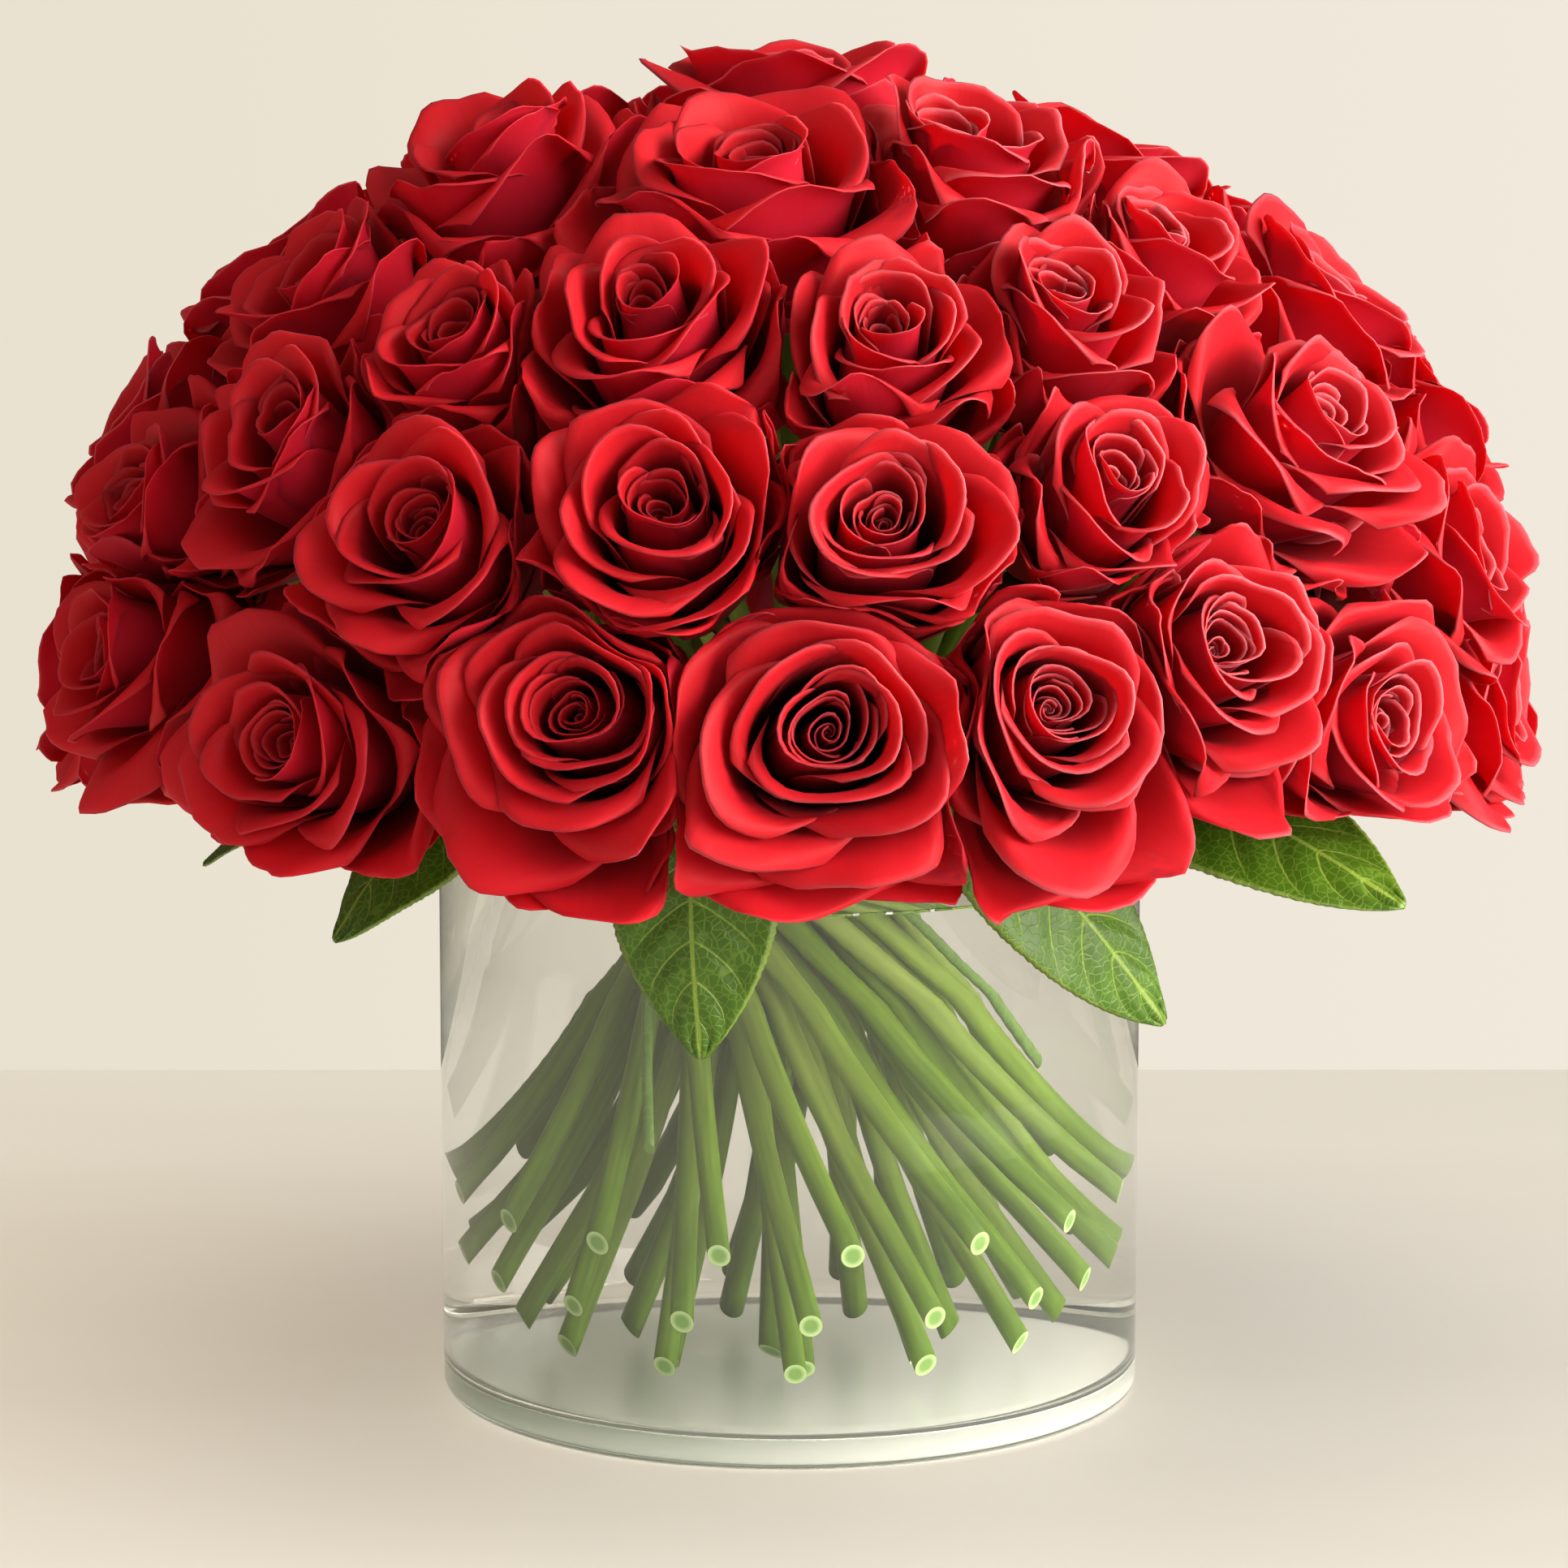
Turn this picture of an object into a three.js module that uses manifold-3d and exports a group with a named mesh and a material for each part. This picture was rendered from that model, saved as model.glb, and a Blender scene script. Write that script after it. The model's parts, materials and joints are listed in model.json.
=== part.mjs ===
// A round hand-tied bunch of red roses in a clear glass cylinder vase, with a few broad leaves at the rim.
//
// Millimetres, +Z up. The origin is the middle of the vase's foot, on the table. Azimuths are in degrees
// round +Z, 0 towards the viewer (-Y) and rising towards +X.
//
// Every stem leans round the axis the same way: it crosses the narrow neck of the bunch about a quarter
// turn past its own bloom, leaves the vase within its mouth or close over the rim, and ends under the bloom
// that it carries. The stems touch each other at the neck, and there they are one body.

import * as THREE from 'three';
import { mergeVertices } from 'three/addons/utils/BufferGeometryUtils.js';
import Module from 'manifold-3d';

const wasm = await Module();
wasm.setup();

// ---------------------------------------------------------------- driving dimensions

const CLEARANCE = 0.3;

const VASE = { radius: 100, height: 200, wall: 4, base: 8, chamfer: 1.5, sides: 40 };
const WATER_LEVEL = 154;

// The dome that the middles of the blooms lie on, and the slope under its lowest petals
const DOME = { radius: 208, rise: 159, middle: 216 };
const SKIRT = { radius: 150, height: 184, slope: 14 / 64 };

// flare widens a petal row's reach before the walls round a bloom narrow it, heart is how far down the
// bloom its walls are centred, and rims below the skirted latitude end at the skirt
const BLOOM = { depth: 50, widest: 48, flare: 1.16, heart: 0.45, samples: 15, gap: 0.5, skirted: 12 };
const BLOOM_TILT = { atRim: 12, perDegree: 0.87 };

const STEM = { radius: 3.6, sides: 5, press: 1.6 };
const NECK_HEIGHT = 128;
const BEND_HEIGHT = 166;
const RIM_PASS = { radius: 97, height: 206 };

const TWIG = { radius: 1.6, sides: 4, neck: 39.5, foot: 82, bulge: 6.5, overRim: 3, outside: 4.5 };
const LEAF = { thickness: 0.9, stations: 6, fold: 4, arch: 6, petiole: 1.6, tip: 0.5, tooth: 0.05 };

// The powers that set where along its length a leaf is widest, and how full it is there
const LEAF_SHAPE = { widest: 0.8, fullness: 0.75 };

// Rings of blooms, from the rim up. Each bloom is [azimuth, latitude on the dome, diameter].
// neck is how far from the axis the ring's stems pass the neck, evenly round it, and foot is the radius
// and height where they end. The first stem of each ring presses in on the ring inside it.
const RINGS = [
  {
    name: 'rim',
    passesRim: true,
    neck: 30,
    foot: [87, 58],
    blooms: [
      [-66, 5, 68], [-41, -2, 71], [-16, 3, 74], [2, 2, 86], [20, 3, 78], [34.5, 8, 72], [51, -1, 72],
      [76, -2, 74], [100, 2, 82], [124, -1, 78], [149, 3, 84], [173, 0, 78], [197, 4, 82], [221, 0, 80],
      [246, 3, 84], [270, -1, 78],
    ],
  },
  {
    name: 'lower',
    passesRim: true,
    neck: 23.6,
    foot: [84, 38],
    blooms: [
      [-68, 20, 66], [-50, 28, 64], [-31, 20, 70], [-10.5, 23, 74], [7.5, 22, 70], [27, 25, 60],
      [52, 29, 72], [71, 14, 72], [90, 24, 74], [112, 21, 78], [137, 24, 80], [161, 21, 80], [185, 24, 80],
      [209, 22, 80], [233, 24, 80], [257, 21, 78], [275, 26, 70],
    ],
  },
  {
    name: 'upper',
    neck: 16.5,
    foot: [69, 21],
    blooms: [
      [-65, 45, 66], [-35, 40, 58], [-15, 44.5, 72], [10, 41.5, 62], [32, 45, 60], [54, 51, 62],
      [82, 42, 78], [113, 45, 84], [142, 43, 82], [172, 46, 84], [202, 43, 84], [233, 46, 84], [263, 44, 82],
    ],
  },
  {
    name: 'crest',
    neck: 7.6,
    foot: [42, 16],
    blooms: [
      [-64, 63, 78], [-6.5, 65, 86], [37, 66, 74], [92, 65, 86], [148, 65, 88], [202, 66, 88], [250, 65, 82],
    ],
  },
  {
    name: 'top',
    neck: 3.2,
    foot: [8, 13],
    blooms: [[170, 88, 92]],
  },
];

// Leafy twigs: the two rim stems that each stands between, counted from 0, and its leaves. A leaf's base
// and tip are [azimuth, radius, height], and facing is how steeply its upper face looks up.
const TWIGS = [
  {
    between: [1, 2],
    leaves: [
      { base: [-14, 107, 193], tip: [-12, 114, 118], width: 46, facing: 5 },
      { base: [-47, 108, 191], tip: [-57, 148, 144], width: 44, facing: 35 },
      { base: [-76, 109, 192], tip: [-92, 168, 150], width: 46, facing: 52 },
    ],
  },
  {
    between: [4, 5],
    leaves: [
      { base: [22, 107, 193], tip: [54, 127, 120], width: 43, facing: 12 },
      { base: [50, 112, 192], tip: [52, 206, 162], width: 48, facing: 72 },
      { base: [84, 108, 192], tip: [96, 150, 138], width: 44, facing: 35 },
    ],
  },
  {
    between: [11, 12],
    leaves: [
      { base: [148, 109, 192], tip: [136, 170, 152], width: 46, facing: 55 },
      { base: [186, 107, 193], tip: [190, 120, 120], width: 45, facing: 10 },
      { base: [222, 108, 192], tip: [236, 156, 144], width: 44, facing: 42 },
    ],
  },
];

// ---------------------------------------------------------------- small helpers

const UP = new THREE.Vector3(0, 0, 1);

// A repeatable draw between 0 and 1
function draws(seed) {
  let state = seed;
  return () => {
    state = (state + 0x6d2b79f5) | 0;
    let mixed = Math.imul(state ^ (state >>> 15), 1 | state);
    mixed = (mixed + Math.imul(mixed ^ (mixed >>> 7), 61 | mixed)) ^ mixed;
    return ((mixed ^ (mixed >>> 14)) >>> 0) / 4294967296;
  };
}

// The level direction at an azimuth, and the point at an azimuth, radius and height
function heading(azimuth) {
  const angle = THREE.MathUtils.degToRad(azimuth);
  return new THREE.Vector3(Math.sin(angle), -Math.cos(angle), 0);
}

function place(azimuth, radius, height) {
  return heading(azimuth).multiplyScalar(radius).setZ(height);
}

// Straight lengths from point to point, one for each step of an extrusion
class Route extends THREE.Curve {
  constructor(points) {
    super();
    this.points = points;
  }

  getPointAt(u, target = new THREE.Vector3()) {
    const last = this.points.length - 1;
    const index = Math.min(Math.floor(u * last + 1e-6), last - 1);
    return target.lerpVectors(this.points[index], this.points[index + 1], u * last - index);
  }

  getPoint(u, target) {
    return this.getPointAt(u, target);
  }

  // At a bend the section stands square to the mean of the two lengths
  getTangentAt(u, target = new THREE.Vector3()) {
    const last = this.points.length - 1;
    const index = Math.round(u * last);
    const here = this.points[index];
    const before = here.clone().sub(this.points[Math.max(index - 1, 0)]).normalize();
    const after = this.points[Math.min(index + 1, last)].clone().sub(here).normalize();
    return target.copy(before.add(after)).normalize();
  }
}

// A rod of regular section along a run of points, its two ends pushed out by extra
function rod(points, radius, sides, extra = 0) {
  const run = points.map((point) => point.clone());
  const last = run.length - 1;
  run[0].addScaledVector(run[0].clone().sub(run[1]).normalize(), extra);
  run[last].addScaledVector(run[last].clone().sub(run[last - 1]).normalize(), extra);
  const section = new THREE.EllipseCurve(0, 0, radius, radius).getPoints(sides).slice(0, sides);
  const extrudePath = new Route(run);
  return new THREE.ExtrudeGeometry(new THREE.Shape(section), { steps: last, extrudePath });
}

// Between a geometry and the solid that manifold-3d joins and cuts
function solid(geometry) {
  const bare = geometry.clone();
  bare.deleteAttribute('normal');
  bare.deleteAttribute('uv');
  const merged = mergeVertices(bare, 1e-4);
  return new wasm.Manifold(new wasm.Mesh({
    numProp: 3,
    vertProperties: new Float32Array(merged.attributes.position.array),
    triVerts: new Uint32Array(merged.index.array),
  }));
}

function join(geometries) {
  return geometries.map(solid).reduce((whole, piece) => whole.add(piece));
}

// The largest body of a solid: loose scraps go, and sealed hollows are filled
function largestBody(shape) {
  return shape.decompose().reduce((best, body) => (body.volume() > best.volume() ? body : best));
}

function surface(shape) {
  const mesh = shape.getMesh();
  const geometry = new THREE.BufferGeometry();
  geometry.setAttribute('position', new THREE.BufferAttribute(new Float32Array(mesh.vertProperties), 3));
  geometry.setIndex(new THREE.BufferAttribute(new Uint32Array(mesh.triVerts), 1));
  return geometry;
}

function geometryFrom(points, faces) {
  const geometry = new THREE.BufferGeometry();
  geometry.setFromPoints(points);
  geometry.setIndex(faces.flat());
  return geometry;
}

// ---------------------------------------------------------------- vase and water

function turned(profile) {
  const points = profile.map(([radius, height]) => new THREE.Vector2(radius, height));
  return new THREE.LatheGeometry(points, VASE.sides).rotateX(Math.PI / 2);
}

function vaseGeometry() {
  const { radius, height, wall, base, chamfer } = VASE;
  return turned([
    [0, 0],
    [radius - chamfer, 0],
    [radius, chamfer],
    [radius, height],
    [radius - wall, height],
    [radius - wall, base],
    [0, base],
  ]);
}

// The water fills the vase to its level, and the stems stand in plain holes in it
function waterGeometry(stems) {
  const radius = VASE.radius - VASE.wall - CLEARANCE;
  const bottom = VASE.base + CLEARANCE;
  const body = solid(turned([[0, bottom], [radius, bottom], [radius, WATER_LEVEL], [0, WATER_LEVEL]]));
  const holes = stems.map(({ points, thickness, sides }) => {
    const grown = thickness + CLEARANCE / Math.cos(Math.PI / sides);
    return solid(rod(points, grown, sides, CLEARANCE));
  });
  return surface(largestBody(holes.reduce((whole, hole) => whole.subtract(hole), body)));
}

// ---------------------------------------------------------------- blooms and their stems

// Where one bloom sits: its middle on the dome, the way it looks, and the seat of its stem
function bloomSeat(azimuth, latitude, diameter) {
  const lift = THREE.MathUtils.degToRad(latitude);
  const tilt = THREE.MathUtils.degToRad(BLOOM_TILT.atRim + BLOOM_TILT.perDegree * latitude);
  const out = heading(azimuth);
  const crown = out.clone().multiplyScalar(DOME.radius * Math.cos(lift));
  crown.setZ(DOME.middle + DOME.rise * Math.sin(lift));
  const axis = out.clone().multiplyScalar(Math.cos(tilt)).addScaledVector(UP, Math.sin(tilt));
  return {
    azimuth,
    latitude,
    crown,
    axis,
    reach: diameter / 2,
    heart: crown.clone().addScaledVector(axis, -BLOOM.depth * BLOOM.heart),
    seat: crown.clone().addScaledVector(axis, -BLOOM.depth - CLEARANCE),
  };
}

// Flat walls between a bloom and all the others, and the skirt under the rim blooms. A wall is a
// direction and how far along it the bloom may reach.
function wallsRound(bloom, blooms) {
  const walls = blooms.filter((other) => other !== bloom).map((other) => {
    const across = other.heart.clone().sub(bloom.heart);
    const share = bloom.reach / (bloom.reach + other.reach);
    const limit = across.clone().normalize().dot(bloom.heart) + across.length() * share - BLOOM.gap / 2;
    return { direction: across.normalize(), limit };
  });
  if (bloom.latitude < BLOOM.skirted) {
    const direction = heading(bloom.azimuth).multiplyScalar(-SKIRT.slope).setZ(-1);
    const limit = -SKIRT.height - SKIRT.slope * SKIRT.radius;
    const length = direction.length();
    walls.push({ direction: direction.divideScalar(length), limit: limit / length });
  }
  return walls;
}

// The rows of a bloom from its seat to its heart. reach is a share of the bloom's radius and drop a
// share of its depth; petals is how many lobes the row has, cut how deep they are and begins the column
// where they begin; give is how much of the squeeze between neighbours the row takes.
const BELLY = { reach: 0.6, drop: 0.74, petals: 5, cut: 0.04, begins: 0, give: 1 };
const PETAL_ROWS = [
  { reach: 1.0, drop: 0.2, petals: 5, cut: 0.17, begins: 0, give: 1 },
  { reach: 0.46, drop: 0.42, petals: 5, cut: 0, begins: 0, give: 1 },
  { reach: 0.7, drop: 0.07, petals: 5, cut: 0.18, begins: 1, give: 0.9 },
  { reach: 0.34, drop: 0.3, petals: 3, cut: 0, begins: 0, give: 0.85 },
  { reach: 0.33, drop: 0, petals: 3, cut: 0.2, begins: 2, give: 0.75 },
];
const HEART_DROP = 0.2;

// How far each lobe narrows along its length and how far its rim waves down, as shares of its cut
const LOBE = { narrows: 0.25, waves: 0.5, level: 0.35 };

// One closed surface: rows of lobed rims and the valleys between them, each lobe stepping in under the
// next as a petal laps its neighbour, narrowed column by column where the walls are near. Each row is
// turned half a column past the one before it.
function bloomGeometry(bloom, walls, random) {
  const rows = bloom.latitude < BLOOM.skirted ? [BELLY, ...PETAL_ROWS] : PETAL_ROWS;
  const samples = BLOOM.samples;
  const roll = random() * Math.PI * 2;
  const side = new THREE.Vector3().crossVectors(bloom.axis, UP);
  if (side.lengthSq() < 1e-6) {
    side.set(1, 0, 0);
  }
  side.normalize();
  const rise = new THREE.Vector3().crossVectors(side, bloom.axis);
  const reach = Math.min(bloom.reach * BLOOM.flare, BLOOM.widest);

  const spots = rows.map((row, index) => Array.from({ length: samples }, (_, column) => {
    const each = samples / row.petals;
    const along = ((column + row.begins) % each) / each;
    const lobe = row.cut * (along === 0 ? 1 : LOBE.narrows * along);
    const angle = roll + ((column + index / 2) / samples) * Math.PI * 2;
    const out = side.clone().multiplyScalar(Math.cos(angle)).addScaledVector(rise, Math.sin(angle));
    const wave = Math.max(0, row.cut * (random() - LOBE.level) * LOBE.waves);
    return { out, radius: reach * row.reach * (1 - lobe), drop: BLOOM.depth * (row.drop + wave) };
  }));

  const foot = (drop) => bloom.crown.clone().addScaledVector(bloom.axis, -drop);
  const squeeze = Array.from({ length: samples }, (_, column) => Math.min(1, ...rows.map((row, index) => {
    const { out, radius, drop } = spots[index][column];
    const room = Math.min(radius, ...walls.map(({ direction, limit }) => {
      const outward = direction.dot(out);
      return outward > 1e-6 ? (limit - direction.dot(foot(drop))) / outward : Infinity;
    }));
    return 1 - (1 - room / radius) / row.give;
  })));

  const points = [foot(BLOOM.depth)];
  rows.forEach((row, index) => spots[index].forEach(({ out, radius, drop }, column) => {
    const narrowed = radius * (1 - (1 - squeeze[column]) * row.give);
    points.push(foot(drop).addScaledVector(out, narrowed));
  }));
  points.push(foot(BLOOM.depth * HEART_DROP));

  const faces = [];
  const at = (row, column) => 1 + row * samples + (column % samples);
  for (let column = 0; column < samples; column += 1) {
    faces.push([0, at(0, column), at(0, column + 1)]);
    for (let row = 0; row < rows.length - 1; row += 1) {
      faces.push([at(row, column), at(row + 1, column), at(row, column + 1)]);
      faces.push([at(row, column + 1), at(row + 1, column), at(row + 1, column + 1)]);
    }
    faces.push([at(rows.length - 1, column), points.length - 1, at(rows.length - 1, column + 1)]);
  }
  return geometryFrom(points, faces);
}

// How far along the straight line from a to b it first lies radius from the axis, seen from above
function shareAtRadius(a, b, radius) {
  const run = b.clone().sub(a).setZ(0);
  const start = a.clone().setZ(0);
  const half = start.dot(run) / run.lengthSq();
  return -half + Math.sqrt(half * half - (start.lengthSq() - radius * radius) / run.lengthSq());
}

// A rose's stem: straight from its foot through the neck to clear of the water, then over the rim where
// it leans that far, and on to its seat
function stemRoute(bloom, ring, index) {
  const [footRadius, footHeight] = ring.foot;
  const { seat } = bloom;
  const neckAzimuth = ring.blooms[0][0] + 90 + (index * 360) / ring.blooms.length;
  const neck = place(neckAzimuth, ring.neck - (index === 0 ? STEM.press : 0), NECK_HEIGHT);
  const away = neck.clone().multiplyScalar(2).sub(seat);
  const start = neck.clone().lerp(away, shareAtRadius(neck, away, footRadius)).setZ(footHeight);
  const bend = start.clone().lerp(neck, (BEND_HEIGHT - footHeight) / (NECK_HEIGHT - footHeight));
  const route = [start, bend];
  if (ring.passesRim) {
    const pass = neck.clone().lerp(seat, shareAtRadius(neck, seat, RIM_PASS.radius));
    route.push(pass.setZ(Math.max(pass.z, RIM_PASS.height)));
  }
  route.push(seat);
  return route;
}

// ---------------------------------------------------------------- leafy twigs

// A thin arched blade, folded along its midrib, with a toothed edge and a drawn-out tip
function leafGeometry({ base, tip, width, facing }) {
  const start = place(...base);
  const spine = place(...tip).sub(start);
  const outward = heading((base[0] + tip[0]) / 2);
  const slope = THREE.MathUtils.degToRad(facing);
  const wanted = outward.multiplyScalar(Math.cos(slope)).addScaledVector(UP, Math.sin(slope));
  const across = new THREE.Vector3().crossVectors(wanted, spine).normalize();
  const normal = new THREE.Vector3().crossVectors(spine, across).normalize();

  const points = [];
  for (let station = 0; station <= LEAF.stations; station += 1) {
    const along = station / LEAF.stations;
    const bulge = Math.sin(Math.PI * along ** LEAF_SHAPE.widest) ** LEAF_SHAPE.fullness;
    const tooth = 1 + (station % 2 ? LEAF.tooth : -LEAF.tooth);
    const ends = LEAF.petiole * (1 - along) + LEAF.tip * along;
    const half = Math.max((width / 2) * bulge * tooth, ends);
    const middle = start.clone().addScaledVector(spine, along);
    middle.addScaledVector(normal, LEAF.arch * Math.sin(Math.PI * along));
    for (const share of [-1, 0, 1]) {
      const fall = -LEAF.fold * Math.abs(share) * (half / (width / 2));
      const spot = middle.clone().addScaledVector(across, half * share).addScaledVector(normal, fall);
      points.push(spot, spot.clone().addScaledVector(normal, -LEAF.thickness));
    }
  }

  const faces = [];
  const at = (station, column, face) => (station * 3 + column) * 2 + face;
  const quad = (a, b, c, d) => faces.push([a, c, b], [a, d, c]);
  for (let station = 0; station < LEAF.stations; station += 1) {
    const next = station + 1;
    for (let column = 0; column < 2; column += 1) {
      quad(at(station, column, 0), at(station, column + 1, 0), at(next, column + 1, 0), at(next, column, 0));
      faces.push([at(station, column, 1), at(station, column + 1, 1), at(next, column + 1, 1)]);
      faces.push([at(station, column, 1), at(next, column + 1, 1), at(next, column, 1)]);
    }
    quad(at(station, 0, 0), at(next, 0, 0), at(next, 0, 1), at(station, 0, 1));
    quad(at(station, 2, 0), at(station, 2, 1), at(next, 2, 1), at(next, 2, 0));
  }
  for (let column = 0; column < 2; column += 1) {
    const last = LEAF.stations;
    quad(at(0, column, 0), at(0, column, 1), at(0, column + 1, 1), at(0, column + 1, 0));
    quad(at(last, column, 0), at(last, column + 1, 0), at(last, column + 1, 1), at(last, column, 1));
  }
  return geometryFrom(points, faces);
}

// A twig stands outside the rose stems in the vase, midway between two of them all the way up
function twigRoute({ between }) {
  const pair = between.map((index) => rimRoutes[index]);
  const midway = ([a, b]) => a.clone().lerp(b, 0.5).setZ(0);
  const stemsAt = (height) => pair.map(([start, bend]) => {
    return start.clone().lerp(bend, (height - start.z) / (bend.z - start.z));
  });
  const beside = (height) => {
    const points = stemsAt(height);
    const radius = Math.hypot(points[0].x, points[0].y) + TWIG.bulge;
    return midway(points).setLength(radius).setZ(height);
  };
  const pass = midway(pair.map((route) => route[2]));
  const { radius, wall, height } = VASE;
  return [
    beside(TWIG.foot),
    midway(stemsAt(NECK_HEIGHT)).setLength(TWIG.neck).setZ(NECK_HEIGHT),
    beside(BEND_HEIGHT),
    pass.clone().setLength(radius - wall).setZ(height + TWIG.overRim),
    pass.clone().setLength(radius + TWIG.outside).setZ(height + TWIG.overRim - 1),
  ];
}

// The stalk from the twig's end round the outside of the rim to the leaf's base
function stalkRoute(end, { base }) {
  const [azimuth, radius, height] = base;
  const from = THREE.MathUtils.radToDeg(Math.atan2(end.x, -end.y));
  const turn = THREE.MathUtils.euclideanModulo(azimuth - from + 180, 360) - 180;
  const middle = place(from + turn / 2, radius + 1, height + 1);
  return [end, middle, place(azimuth, radius, height - 1)];
}

function twigGeometry(twig) {
  const route = twigRoute(twig);
  const end = route[route.length - 1];
  const pieces = [rod(route, TWIG.radius, TWIG.sides)];
  for (const leaf of twig.leaves) {
    pieces.push(rod(stalkRoute(end, leaf), TWIG.radius, TWIG.sides), leafGeometry(leaf));
  }
  return surface(largestBody(join(pieces)));
}

// ---------------------------------------------------------------- assembly

const petalRed = new THREE.MeshStandardMaterial({ color: 0xc8202b, roughness: 0.6, metalness: 0 });
const clearGlass = new THREE.MeshStandardMaterial({ color: 0xe9efec, roughness: 0.05, metalness: 0 });
const stillWater = new THREE.MeshStandardMaterial({ color: 0xdfe8dc, roughness: 0.02, metalness: 0 });
const stemGreen = new THREE.MeshStandardMaterial({ color: 0x6f9a3c, roughness: 0.55, metalness: 0 });
const leafGreen = new THREE.MeshStandardMaterial({ color: 0x4f7a24, roughness: 0.45, metalness: 0 });

const group = new THREE.Group();

function add(name, geometry, material) {
  const mesh = new THREE.Mesh(geometry, material);
  mesh.name = name;
  group.add(mesh);
}

const ringSeats = RINGS.map((ring) => ring.blooms.map((bloom) => bloomSeat(...bloom)));
const allBlooms = ringSeats.flat();
const ringRoutes = RINGS.map((ring, level) => {
  return ringSeats[level].map((bloom, index) => stemRoute(bloom, ring, index));
});
const [rimRoutes] = ringRoutes;
const roseRoutes = ringRoutes.flat();
const twigRoutes = TWIGS.map(twigRoute);

add('vase', vaseGeometry(), clearGlass);

add('water', waterGeometry([
  ...roseRoutes.map((points) => ({ points, thickness: STEM.radius, sides: STEM.sides })),
  ...twigRoutes.map((points) => ({ points, thickness: TWIG.radius, sides: TWIG.sides })),
]), stillWater);

const stems = join(roseRoutes.map((points) => rod(points, STEM.radius, STEM.sides)));
add('rose_stems', surface(largestBody(stems)), stemGreen);

RINGS.forEach((ring, level) => ringSeats[level].forEach((bloom, index) => {
  const geometry = bloomGeometry(bloom, wallsRound(bloom, allBlooms), draws(level * 100 + index + 1));
  add(`rose_${ring.name}_${index + 1}`, geometry, petalRed);
}));

TWIGS.forEach((twig, index) => add(`leafy_twig_${index + 1}`, twigGeometry(twig), leafGreen));

export default group;
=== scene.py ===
import json
import math

import bpy
import numpy as np
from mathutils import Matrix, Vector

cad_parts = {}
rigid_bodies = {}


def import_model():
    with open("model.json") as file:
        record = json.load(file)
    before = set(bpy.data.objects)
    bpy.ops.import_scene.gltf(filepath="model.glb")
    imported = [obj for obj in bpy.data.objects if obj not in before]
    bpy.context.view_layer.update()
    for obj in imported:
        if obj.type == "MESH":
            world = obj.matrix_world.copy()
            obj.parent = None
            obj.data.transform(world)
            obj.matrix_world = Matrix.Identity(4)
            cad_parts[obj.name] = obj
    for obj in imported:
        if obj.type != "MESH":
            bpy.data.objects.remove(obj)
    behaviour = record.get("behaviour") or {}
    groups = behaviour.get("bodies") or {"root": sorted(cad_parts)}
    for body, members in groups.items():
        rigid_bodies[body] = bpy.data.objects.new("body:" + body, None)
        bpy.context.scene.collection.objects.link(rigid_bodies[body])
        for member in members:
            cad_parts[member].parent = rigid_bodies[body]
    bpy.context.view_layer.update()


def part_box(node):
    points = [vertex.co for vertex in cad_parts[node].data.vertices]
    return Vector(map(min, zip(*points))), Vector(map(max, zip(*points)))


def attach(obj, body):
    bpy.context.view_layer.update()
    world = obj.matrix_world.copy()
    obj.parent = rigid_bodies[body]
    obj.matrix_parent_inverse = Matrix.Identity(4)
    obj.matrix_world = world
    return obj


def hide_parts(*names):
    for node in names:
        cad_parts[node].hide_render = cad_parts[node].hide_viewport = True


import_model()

bl_info = {
    "name": "Roses in a glass cylinder",
    "version": (1, 0, 0),
    "blender": (4, 5, 0),
    "location": "View3D > Sidebar > Roses",
    "description": "Dresses a hand-tied bunch of red roses in a clear glass cylinder vase",
    "category": "Add Mesh",
}

MM = 0.001
UP = np.array([0.0, 0.0, 1.0])

# The dome that the middles of the blooms lie on, the slope under its lowest petals and how a bloom sits
# there, in mm and degrees. depth and to_heart are how far below its crown its stem and its heart are. gap
# is left between two blooms, and blooms further apart than nearby don't meet.
DOME = {"radius": 208, "rise": 159, "middle": 216}
SKIRT = {"radius": 150, "height": 184, "slope": 14 / 64, "below": 12}
BLOOM = {
    "depth": 50.3, "to_heart": 22.5, "gap": 0.5, "tilt": 12, "tilt_per_degree": 0.87, "nearby": 130,
}

# How stems and twigs run: through the neck, clear of the water at the bend, and over the rim, in mm.
# A pair is a radius and a height. press is how far the first stem of a ring is pressed inwards, straight
# how far a stem runs along its bloom's axis, and bulge how far outside the stems a twig stands.
STEM = {"press": 1.6, "neck": 128, "bend": 166, "rim_radius": 97, "rim_height": 206, "straight": 14}
TWIG = {
    "neck": 39.5, "foot": 82, "bulge": 6.5, "over_rim": (96, 203), "outside": (104.5, 202), "stalk": 101.5,
}

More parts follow.
